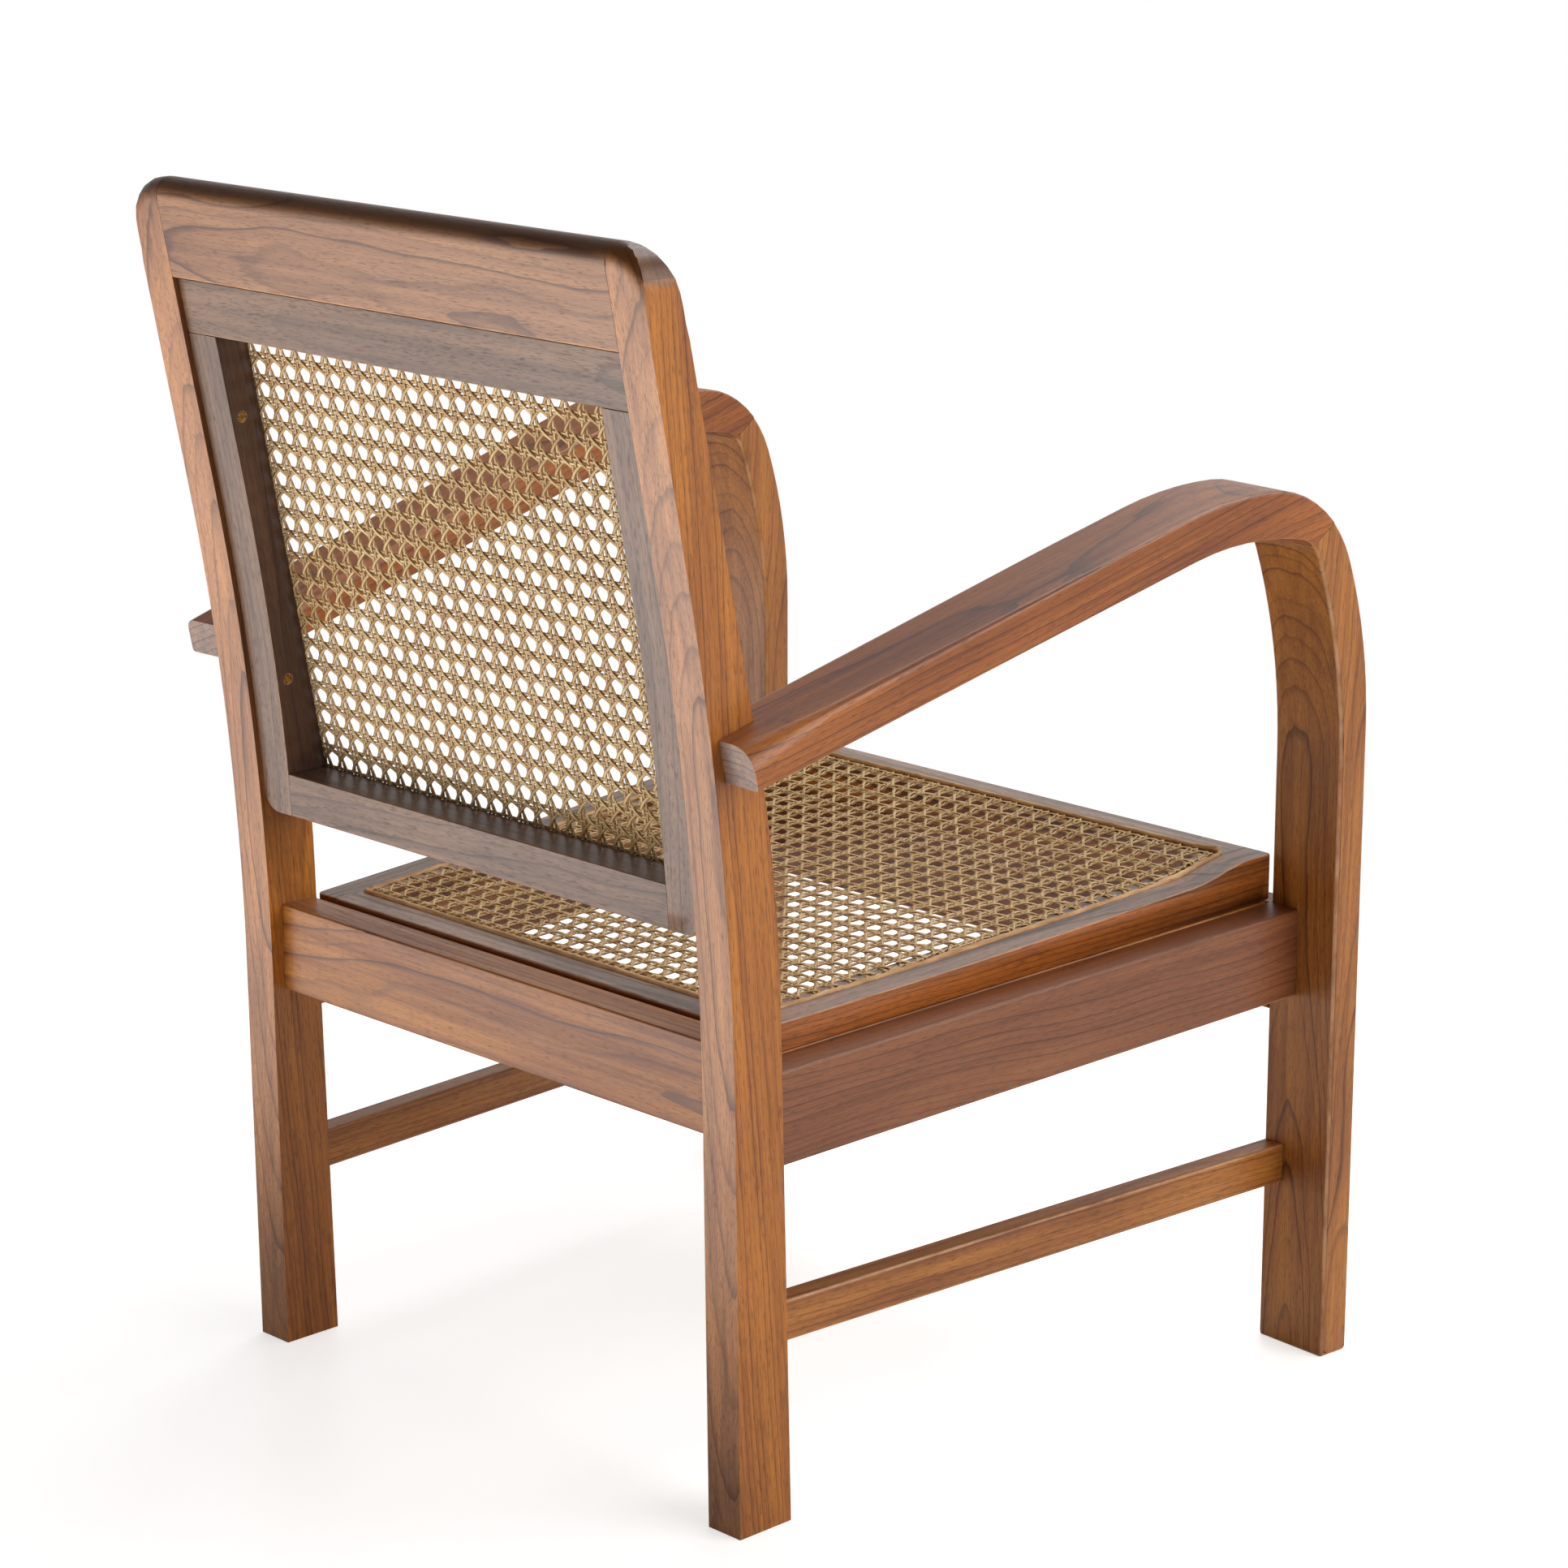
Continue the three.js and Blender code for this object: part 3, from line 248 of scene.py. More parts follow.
LIGHT_TEAK = srgb(190, 121, 50)
DARK_TEAK = srgb(120, 60, 20)
RING_LINE = srgb(66, 32, 16)
PORE = srgb(48, 26, 16)
WORN_TEAK = srgb(222, 176, 134)
# the grey of a painted sheen, the grain seen through that sheen, and the brown of painted shade
SHEEN_GREY = srgb(158, 146, 138)
SHEEN_GRAIN = srgb(74, 60, 52)
SHADE_TONE = srgb(44, 20, 10)

# How fine each part of the grain is: twice across the board, then along it
GRAIN_SCALES = {
    "wander": (7, 7, 2.6),
    "ripple": (55, 55, 9),
    "streak": (130, 130, 3.6),
    "drift": (16, 16, 4),
    "fibre": (750, 750, 22),
    "pore": (1700, 1700, 120),
    "patch": (90, 90, 40),
}


def teak_group():
    """Teak as a solid. Grain space has its Z along the board and its nought at the board's middle. The
    growth rings are cylinders round a pith, whose radius swells along the board by taper and wanders by a
    slow noise. Each ring deepens slowly and ends in a fine dark line, strong in some years and faint in
    others. Short dark pores, fibres and slow streaks run along the grain. One mask lays a grey painted sheen
    over the surface in streaks, another darkens it with painted shade, and arris wears it pale in patches."""
    tree, given, out = new_group(
        "teak grain",
        [
            ("Grain", "Vector", None),
            ("Pith", "Vector", (0.05, 0.02, 0)),
            ("Taper", "Float", 0.02),
            ("Ring Width", "Float", 0.0045),
            ("Figure", "Float", 1.0),
            ("Line Strength", "Float", 0.7),
            ("Streaks", "Float", 1.0),
            ("Pores", "Float", 0.45),
            ("Seed", "Float", 0.0),
            ("Light", "Color", (*LIGHT_TEAK, 1)),
            ("Dark", "Color", (*DARK_TEAK, 1)),
            ("Arris", "Float", 0.0),
            ("Wear", "Float", 0.6),
            # masks and colour for a painted sheen and for painted shade
            ("Faded", "Float", 0.0),
            ("Faded Color", "Color", (*SHEEN_GREY, 1)),
            ("Deepened", "Float", 0.0),
        ],
        [("Color", "Color"), ("Roughness", "Float"), ("Height", "Float")],
    )
    grain = given["Grain"]
    seed = add(tree, "ShaderNodeCombineXYZ", {axis: given["Seed"] for axis in range(3)}).outputs[0]
    here = add(tree, "ShaderNodeVectorMath", {0: grain, 1: seed}, operation="ADD").outputs[0]
    parts = add(tree, "ShaderNodeSeparateXYZ", {0: grain})

    def part(name, detail, roughness):
        return noise(tree, stretch(tree, here, GRAIN_SCALES[name]), detail, roughness)

    wander = part("wander", 2, 0.5)
    ripple = part("ripple", 2, 0.6)
    off = add(tree, "ShaderNodeVectorMath", {0: grain, 1: given["Pith"]}, operation="SUBTRACT").outputs[0]
    flat = stretch(tree, off, (1, 1, 0))
    radius = add(tree, "ShaderNodeVectorMath", {0: flat}, operation="LENGTH").outputs["Value"]
    swell = calc(tree, "MULTIPLY", parts.outputs[2], given["Taper"])
    shift = calc(tree, "MULTIPLY", swing(tree, wander, 0.05), given["Figure"])
    shift = calc(tree, "ADD", shift, swing(tree, ripple, 0.0035))
    path = calc(tree, "ADD", calc(tree, "ADD", radius, swell), shift)
    rings = calc(tree, "DIVIDE", path, given["Ring Width"])
    phase = calc(tree, "FRACT", rings)
    whole = calc(tree, "FLOOR", rings)
    year = add(tree, "ShaderNodeTexWhiteNoise", {"W": whole}, noise_dimensions="1D").outputs["Value"]
    line = ramp(tree, phase, [(0, 0.35), (0.06, 0), (0.8, 0), (0.93, 0.85), (0.97, 1)])
    line = calc(tree, "MULTIPLY", line, ramp(tree, year, [(0.15, 0.12), (0.55, 0.45), (0.95, 1)]))
    body = calc(tree, "MULTIPLY", ramp(tree, phase, [(0, 0.2), (0.12, 0), (0.6, 0.22), (1, 0.75)]), year)

    streak = part("streak", 3, 0.6)
    drift = part("drift", 2, 0.55)
    fibre = part("fibre", 3, 0.65)
    pore = part("pore", 1, 0.5)
    # pores crowd in the wood that grew early in each year
    pore = calc(tree, "ADD", pore, calc(tree, "MULTIPLY", calc(tree, "SUBTRACT", 1.0, phase), 0.07))
    pores = calc(tree, "MULTIPLY", ramp(tree, pore, [(0.6, 0), (0.7, 1)]), given["Pores"])

    depth = calc(tree, "ADD", calc(tree, "MULTIPLY", body, 0.5), 0.38)
    loose = calc(tree, "ADD", swing(tree, streak, 1.5), swing(tree, drift, 1.3))
    loose = calc(tree, "MULTIPLY", loose, given["Streaks"])
    depth = calc(tree, "ADD", calc(tree, "ADD", depth, loose), swing(tree, fibre, 0.7), clamp=True)
    wood = blend(tree, depth, given["Light"], given["Dark"])
    wood = blend(tree, calc(tree, "MULTIPLY", line, given["Line Strength"]), wood, RING_LINE)
    wood = blend(tree, pores, wood, PORE)
    # painted sheen: a grey reflection laid over the wood in streaks, the grain still showing through it
    veil = calc(tree, "ADD", 0.82, swing(tree, streak, 0.9))
    veil = calc(tree, "MULTIPLY", given["Faded"], veil, clamp=True)
    sheened_wood = blend(tree, calc(tree, "MULTIPLY", depth, 0.8), given["Faded Color"], SHEEN_GRAIN)
    sheened_wood = blend(tree, calc(tree, "MULTIPLY", line, 0.6), sheened_wood, RING_LINE)
    wood = blend(tree, veil, wood, blend(tree, pores, sheened_wood, PORE))
    # painted shade: the wood is darkened where its mask says
    wood = blend(tree, calc(tree, "MULTIPLY", given["Deepened"], 0.75), wood, SHADE_TONE)
    patchy = part("patch", 3, 0.6)
    worn = calc(tree, "MULTIPLY", given["Arris"], given["Wear"])
    worn = calc(tree, "MULTIPLY", worn, ramp(tree, patchy, [(0.35, 0.25), (0.6, 1)]))
    fill(tree, out["Color"], blend(tree, worn, wood, WORN_TEAK))
    rough = calc(tree, "ADD", calc(tree, "MULTIPLY", streak, 0.14), calc(tree, "MULTIPLY", pores, 0.2))
    rough = calc(tree, "ADD", rough, swing(tree, patchy, 0.12))
    fill(tree, out["Roughness"], calc(tree, "ADD", rough, 0.3))
    dent = calc(tree, "ADD", calc(tree, "MULTIPLY", pores, 0.7), calc(tree, "MULTIPLY", line, 0.25))
    fill(tree, out["Height"], calc(tree, "SUBTRACT", calc(tree, "MULTIPLY", fibre, 0.35), dent))
    return tree


TEAK = teak_group()


def new_material(name):
    """An empty material, its node tree and its shader."""
    material = bpy.data.materials.new(name)
    material.use_nodes = True
    return material, material.node_tree, material.node_tree.nodes["Principled BSDF"]


def roughen(tree, surface, height, strength, distance):
    """Feeds a height into the shader's normal as a bump, its distance in metres."""
    bump = add(tree, "ShaderNodeBump", {"Height": height, "Strength": strength, "Distance": distance})
    fill(tree, surface.inputs["Normal"], bump.outputs[0])


def teak(node, along, face, seed, light=LIGHT_TEAK, dark=DARK_TEAK, **values):
    """The teak of one board: along is the direction of its grain, and face the direction that its broad side
    looks. The mapping turns the board so that its grain is Z and its broad side looks along Y, with nought at
    its middle."""
    material, tree, surface = new_material("teak " + node)
    lengthwise = Vector(along).normalized()
    sideways = Vector(face).cross(lengthwise).normalized()
    outward = lengthwise.cross(sideways)
    turned = Matrix((sideways, outward, lengthwise))
    low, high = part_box(node)
    middle = (Vector(low) + Vector(high)) / 2
    spot = add(tree, "ShaderNodeTexCoord").outputs["Object"]
    placed = {"Vector": spot, "Rotation": turned.to_euler(), "Location": -(turned @ middle)}
    mapping = add(tree, "ShaderNodeMapping", placed)
    grain = add(tree, "ShaderNodeGroup", node_tree=TEAK)
    fill(tree, grain.inputs["Grain"], mapping.outputs[0])
    # masks for worn arrises, a painted sheen and painted shade
    for label in ("Arris", "Faded", "Deepened"):
        mask = add(tree, "ShaderNodeAttribute", attribute_name=label.lower())
        fill(tree, grain.inputs[label], mask.outputs["Fac"])
    fill(tree, grain.inputs["Light"], light)
    fill(tree, grain.inputs["Dark"], dark)
    fill(tree, grain.inputs["Seed"], seed)
    for label, value in values.items():
        fill(tree, grain.inputs[label.replace("_", " ").title()], value)
    fill(tree, surface.inputs["Base Color"], grain.outputs["Color"])
    fill(tree, surface.inputs["Roughness"], grain.outputs["Roughness"])
    roughen(tree, surface, grain.outputs["Height"], 0.35, 0.0002)
    surface.inputs["Coat Weight"].default_value = 0.08
    surface.inputs["Coat Roughness"].default_value = 0.22
    return material


# Cane, reed and brass

def cane_material():
    """Split cane: golden skin with long fibres, a few strands redder or paler, and painted shade darkening
    each strand towards its edges.
    """
    material, tree, surface = new_material("woven cane")
    across = add(tree, "ShaderNodeUVMap", uv_map="UVMap")
    strand = add(tree, "ShaderNodeAttribute", attribute_name="strand").outputs["Fac"]
    parts = add(tree, "ShaderNodeSeparateXYZ", {0: across.outputs[0]})
    length = calc(tree, "ADD", parts.outputs[0], calc(tree, "MULTIPLY", strand, 7.3))
    place = add(tree, "ShaderNodeCombineXYZ", {0: length, 1: parts.outputs[1], 2: strand}).outputs[0]
    slow = noise(tree, stretch(tree, place, (16, 0.6, 31)), 2)
    fibres = noise(tree, stretch(tree, place, (45, 9, 31)), 3)
    red = noise(tree, stretch(tree, place, (9, 0.3, 57)), 1)
    shade = calc(tree, "ADD", slow, swing(tree, strand, 0.35))
    base = blend(tree, ramp(tree, shade, [(0.25, 0), (0.75, 1)]), srgb(192, 148, 88), srgb(246, 214, 156))
    base = blend(tree, ramp(tree, red, [(0.54, 0), (0.74, 0.5)]), base, srgb(190, 122, 72))
    # painted shade: each strand darkens towards its edges, where the gaps beside it lie in shade
    edge = ramp(tree, calc(tree, "ABSOLUTE", swing(tree, parts.outputs[1], 2.0)), [(0.5, 0), (1, 0.8)])
    base = blend(tree, edge, base, srgb(96, 60, 28))
    base = blend(tree, ramp(tree, fibres, [(0.3, 0.5), (0.6, 0)]), base, srgb(118, 80, 42))
    fill(tree, surface.inputs["Base Color"], base)
    fill(tree, surface.inputs["Roughness"], calc(tree, "ADD", 0.36, calc(tree, "MULTIPLY", fibres, 0.25)))
    roughen(tree, surface, fibres, 0.3, 0.0001)
    return material


def reed_material():
    """Round reed with a thin stain: long fibres, blotches of stain, and a pale cut at its ends."""
    material, tree, surface = new_material("stained reed")
    across = add(tree, "ShaderNodeUVMap", uv_map="UVMap").outputs[0]
    blot = noise(tree, stretch(tree, across, (40, 1.2, 1)), 3)
    fibres = noise(tree, stretch(tree, across, (60, 26, 1)), 3, 0.6)
    base = blend(tree, ramp(tree, blot, [(0.35, 0), (0.65, 1)]), srgb(198, 146, 90), srgb(240, 196, 140))
    base = blend(tree, ramp(tree, fibres, [(0.38, 0.6), (0.58, 0)]), base, srgb(120, 78, 42))
    cut = add(tree, "ShaderNodeAttribute", attribute_name="cut").outputs["Fac"]
    base = blend(tree, cut, base, srgb(222, 190, 156))
    fill(tree, surface.inputs["Base Color"], base)
    fill(tree, surface.inputs["Roughness"], calc(tree, "ADD", 0.36, calc(tree, "MULTIPLY", fibres, 0.3)))
    roughen(tree, surface, fibres, 0.4, 0.0002)
    return material


def brass_material():
    """Aged brass: yellow metal with brown tarnish in patches."""
    material, tree, surface = new_material("aged brass")
    spot = add(tree, "ShaderNodeTexCoord").outputs["Object"]
    blot = noise(tree, stretch(tree, spot, (700, 700, 700)), 4)
    base = blend(tree, ramp(tree, blot, [(0.35, 0), (0.62, 1)]), srgb(92, 64, 32), srgb(186, 144, 80))
    fill(tree, surface.inputs["Base Color"], base)
    fill(tree, surface.inputs["Roughness"], calc(tree, "SUBTRACT", 0.6, calc(tree, "MULTIPLY", blot, 0.35)))
    surface.inputs["Metallic"].default_value = 1
    roughen(tree, surface, blot, 0.15, 0.0001)
    return material


# Boards

def vertex_places(mesh):
    """The places of a mesh's vertices, (vertices, 3)."""
    places = np.zeros(len(mesh.vertices) * 3, np.float32)
    mesh.vertices.foreach_get("co", places)
    return places.reshape(-1, 3)


def corner_vertices(mesh):
    """The vertex of each face corner of a mesh."""
    corners = np.zeros(len(mesh.loops), np.int32)
    mesh.loops.foreach_get("vertex_index", corners)
    return corners


def tree_of(names):
    """One search tree over the faces of several nodes."""
    points, faces, count = [], [], 0
    for name in names:
        mesh = nodes[name].data
        points.append(vertex_places(mesh))
        faces.append(corner_vertices(mesh).reshape(-1, 3) + count)
        count += len(mesh.vertices)
    return BVHTree.FromPolygons(np.concatenate(points).tolist(), np.concatenate(faces).tolist())


def eased(node, material, body, slot, width, others):
    """A copy of a CAD solid with its exposed arrises worn round. An arris is exposed where its middle is
    clear of every solid in others, so joints stay tight. Points inside the rounding keep 1 in the attribute
    arris."""
    mesh = nodes[node].data.copy()
    mesh.name = node + "_worn"
    piece = bpy.data.objects.new(node + "_worn", mesh)
    bpy.context.scene.collection.objects.link(piece)
    search = tree_of(others) if others else None
    solid = bmesh.new()
    solid.from_mesh(mesh)
    flat = math.radians(FLAT_ANGLE)
    sharp = math.radians(ARRIS_ANGLE)
    bmesh.ops.remove_doubles(solid, verts=solid.verts, dist=MERGE_REACH)
    bmesh.ops.dissolve_limit(solid, angle_limit=flat, verts=solid.verts, edges=solid.edges)
    bmesh.ops.dissolve_degenerate(solid, dist=SHORTEST_EDGE, edges=solid.edges)

    def exposed(edge):
        if len(edge.link_faces) != 2 or not edge.is_convex or edge.calc_face_angle(0) < sharp:
            return False
        middle = (edge.verts[0].co + edge.verts[1].co) / 2
        return search is None or search.find_nearest(middle, JOINT_REACH)[0] is None

    rounded = [edge for edge in solid.edges if exposed(edge)]
    for edge in set(solid.edges) - set(rounded):
        edge.smooth = len(edge.link_faces) == 2 and edge.calc_face_angle(0) < sharp
    made = bmesh.ops.bevel(
        solid,
        geom=rounded,
        offset=width,
        offset_type="OFFSET",
        segments=ARRIS_SEGMENTS,
        profile=0.5,
        affect="EDGES",
        clamp_overlap=True,
        loop_slide=True,
        miter_outer="ARC",
        material=-1,
    )
    rounding = set(made["faces"])
    for face in solid.faces:
        face.smooth = True
    arris = solid.verts.layers.float.new("arris")
    for vertex in solid.verts:
        vertex[arris] = float(bool(vertex.link_faces) and all(face in rounding for face in vertex.link_faces))
    solid.to_mesh(mesh)
    solid.free()
    # the rounding at a slanting arris may stand a hair proud of the CAD board
    low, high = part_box(node)
    places = np.clip(vertex_places(mesh), np.array(low), np.array(high))
    mesh.vertices.foreach_set("co", places.reshape(-1).astype(np.float32))
    mesh.update()
    smooth = piece.modifiers.new("even shading", "WEIGHTED_NORMAL")
    smooth.keep_sharp = True
    return finish_piece(piece, body, slot, material, node)


def smoothstep(low, high, value):
    """0 below low, 1 above high, and a smooth rise between them."""
    part = np.clip((value - low) / (high - low), 0, 1)
    return part * part * (3 - 2 * part)


def keep_mask(mesh, name, mask):
    """Writes one number for each face corner as an attribute."""
    mesh.attributes.new(name, "FLOAT", "CORNER").data.foreach_set("value", mask.astype(np.float32))


def settle(pieces):
    """Keeps the even shading in each mesh, and writes two masks at the face corners from the shaded normal:
    a painted sheen, where it looks along the board's sheen direction, and painted shade, where it turns
    upward, as over a top edge, or looks along a direction in which the board lies in shade above the seat."""
    graph = bpy.context.evaluated_depsgraph_get()
    for piece, faded, amount, deepened, shaded in pieces:
        mesh = bpy.data.meshes.new_from_object(piece.evaluated_get(graph), depsgraph=graph)
        piece.modifiers.clear()
        piece.data = mesh
        normals = np.zeros(len(mesh.loops) * 3, np.float32)
        mesh.corner_normals.foreach_get("vector", normals)
        normals = normals.reshape(-1, 3)
        mask = np.zeros(len(normals), np.float32)
        # painted sheen where the normal looks along the board's sheen direction
        if faded:
            way = np.array(faded) / np.linalg.norm(faded)
            mask = amount * smoothstep(0.86, 0.96, normals @ way)
        keep_mask(mesh, "faded", mask)
        # painted shade on faces that turn upward
        turned = smoothstep(0.02, 0.3, normals[:, 2]) * deepened
        # painted shade on sides that look along shaded, above the seat
        if shaded:
            above = smoothstep(SHADE_START, SHADE_FULL, vertex_places(mesh)[corner_vertices(mesh), 2])
            turned = np.maximum(turned, 0.8 * above * smoothstep(0.9, 0.97, normals @ np.array(shaded)))
        keep_mask(mesh, "deepened", turned)


def both_sides(name, along, **values):
    """The left and right boards of a pair: the right one's grain and shaded side are mirrored."""
    pair = []
    for side, turn in (("left", 1), ("right", -1)):
        own = dict(values)
        if "shaded" in own:
            own["shaded"] = (turn * own["shaded"][0], *own["shaded"][1:])
        pair.append((f"{name}_{side}", (turn * along[0], *along[1:]), own))
    return pair


def board(name, along, **values):
    """One board of no pair, as both_sides gives them."""
    return name, along, values


ACROSS = (1, 0, 0)
TAPER_LINE = (0.067, -1, 0.035)
REARWARD = (0, 1, 0)
OUTWARD = (1, 0, 0)
INWARD = (-1, 0, 0)
UPWARD = (0, 0, 1)

# In a board's values, face is where its broad side looks, pith is how far off its middle the tree's pith ran,
# width is how far its arrises are worn, faded and shaded are the directions in which its sides get a painted
# sheen and painted shade, deepened is how much painted shade its upward faces get, and amount is how strong
# the painted sheen is.
STILE_PITH = (0.05, -0.03, 0)
RAIL_PITH = (0.02, -0.05, 0)
SIDE_PITH = (0.05, -0.02, 0)
# the panel's rear faces get a grey painted sheen over darker wood
GREY_PANEL = dict(
    light=srgb(150, 104, 70), dark=srgb(80, 48, 30), faded_color=srgb(124, 100, 84), faded=REARWARD,
    width=0.0008, pores=0.6,
)
DEEP_RAIL = dict(light=srgb(150, 92, 54), dark=srgb(98, 46, 24), width=0.0016, streaks=0.7, pores=0.4)
# the seat frame's top faces get a strong grey painted sheen
SEAT_FRAME = dict(
    light=srgb(180, 102, 40), dark=srgb(62, 26, 10), line_strength=1.0, streaks=1.5, ring_width=0.004,
    width=0.001, faded=UPWARD, amount=0.9, faded_color=srgb(176, 160, 148), figure=0.6,
)
BOARDS = [
    *both_sides(
        "rear_leg", (0, 0.09, 1), face=OUTWARD, pith=(0.035, -0.012, 0), figure=0.5, taper=0.008,
        width=0.0024, light=srgb(198, 122, 40), dark=srgb(124, 60, 15), faded=REARWARD, amount=0.28,
        faded_color=srgb(196, 176, 160), deepened=1, shaded=INWARD,
    ),
    *both_sides(
        "front_leg", (0, -0.03, 1), face=REARWARD, pith=(0.004, -0.03, 0), figure=0.9, taper=0.03,
        width=0.0024,
    ),
    *both_sides(
        "arm", (0.067, -1, 0.25), face=OUTWARD, pith=(0.06, -0.01, 0), figure=0.5, taper=0.012,
        width=0.0022, light=srgb(180, 104, 38), dark=srgb(112, 50, 14), faded=REARWARD, amount=0.8,
    ),
    *both_sides(
        "side_rail", TAPER_LINE, face=OUTWARD, pith=(0.07, -0.03, 0), figure=1.2, taper=0.02, **DEEP_RAIL
    ),
    *both_sides(
        "stretcher", (0.067, -1, 0), face=OUTWARD, pith=SIDE_PITH, figure=0.5, taper=0.01, width=0.002
    ),
    *both_sides("seat_ledge", TAPER_LINE, face=UPWARD, pith=SIDE_PITH, width=0.0014),
    *both_sides(
        "panel_stile", (0, 0.19, 1), face=REARWARD, pith=STILE_PITH, figure=0.5, taper=0.01, amount=0.65,
        shaded=INWARD, **GREY_PANEL,
    ),
    *both_sides("seat_side_member", TAPER_LINE, face=OUTWARD, pith=SIDE_PITH, **SEAT_FRAME),
    board(
        "crest_rail", ACROSS, face=REARWARD, pith=(0.01, -0.045, 0), figure=0.9, taper=0.03, width=0.0012,
        faded=REARWARD, amount=0.42, faded_color=srgb(152, 136, 126), deepened=1, streaks=0.7,
    ),
    board("rear_seat_rail", ACROSS, face=REARWARD, pith=RAIL_PITH, figure=0.7, taper=0.02, width=0.0016),
    board("front_seat_rail", ACROSS, face=REARWARD, pith=RAIL_PITH, figure=0.7, taper=0.02, **DEEP_RAIL),
    board(
        "panel_top_rail", ACROSS, face=REARWARD, pith=(-0.01, -0.04, 0), figure=0.9, taper=0.03,
        amount=0.62, **GREY_PANEL,
    ),
    board(
        "panel_bottom_rail", ACROSS, face=REARWARD, pith=RAIL_PITH, figure=0.7, amount=0.55, shaded=UPWARD,
        **GREY_PANEL,
    ),
    board("seat_front_member", ACROSS, face=UPWARD, pith=RAIL_PITH, **SEAT_FRAME),
    board("seat_back_member", ACROSS, face=UPWARD, pith=RAIL_PITH, **SEAT_FRAME),
]
WOODEN = [name for name, _, _ in BOARDS]


def dress_boards():
    """Gives every board its teak and its worn arrises, and every screw its brass."""
    pieces = []
    for count, (name, along, values) in enumerate(BOARDS):
        width, faded, amount, deepened, shaded = [
            values.pop(key, None) for key in ("width", "faded", "amount", "deepened", "shaded")
        ]
        material = teak(name, along, seed=1.7 + count * 1.37, **values)
        body = "seat" if name.startswith("seat_") and "ledge" not in name else "frame"
        others = [other for other in WOODEN if other != name]
        piece = eased(name, material, body, "teak", width, others)
        pieces.append((piece, faded, amount, deepened or 0, shaded))
    brass = brass_material()
    for name in [name for name in nodes if "screw" in name]:
        pieces.append((eased(name, brass, "frame", "brass", SCREW_ARRIS, []), None, 0, 0, None))
    settle(pieces)


dress_boards()


# Cane and reeds

def hump(distance):
    """Height of a strand that goes over one strand and under the next across a pair: an odd wave that peaks
    at each strand of the pair and dies out before the next pair."""
    reach = distance / (PAIR_SPACING / 2)
    return reach * np.exp(0.5 * (1 - reach**2))


def strand_grid(place, along, across, lift, width):
    """Flat oval strands. along and across are the middle line's two sheet coordinates, (strands, samples);
    the profile is a half oval with a flat back, carried along the line at the height lift."""
    profile = np.array([(-0.5, -0.4), (-0.42, 0.2), (-0.16, 0.5), (0.16, 0.5), (0.42, 0.2), (0.5, -0.4)])
    run = np.stack([np.gradient(along, axis=1), np.gradient(across, axis=1)], -1)
    run /= np.linalg.norm(run, axis=-1, keepdims=True) + 1e-12
    u = along[..., None] - run[..., 1:] * profile[:, 0] * width
    v = across[..., None] + run[..., :1] * profile[:, 0] * width
    return place(u, v, lift[..., None] + profile[:, 1] * STRAND_THICKNESS)


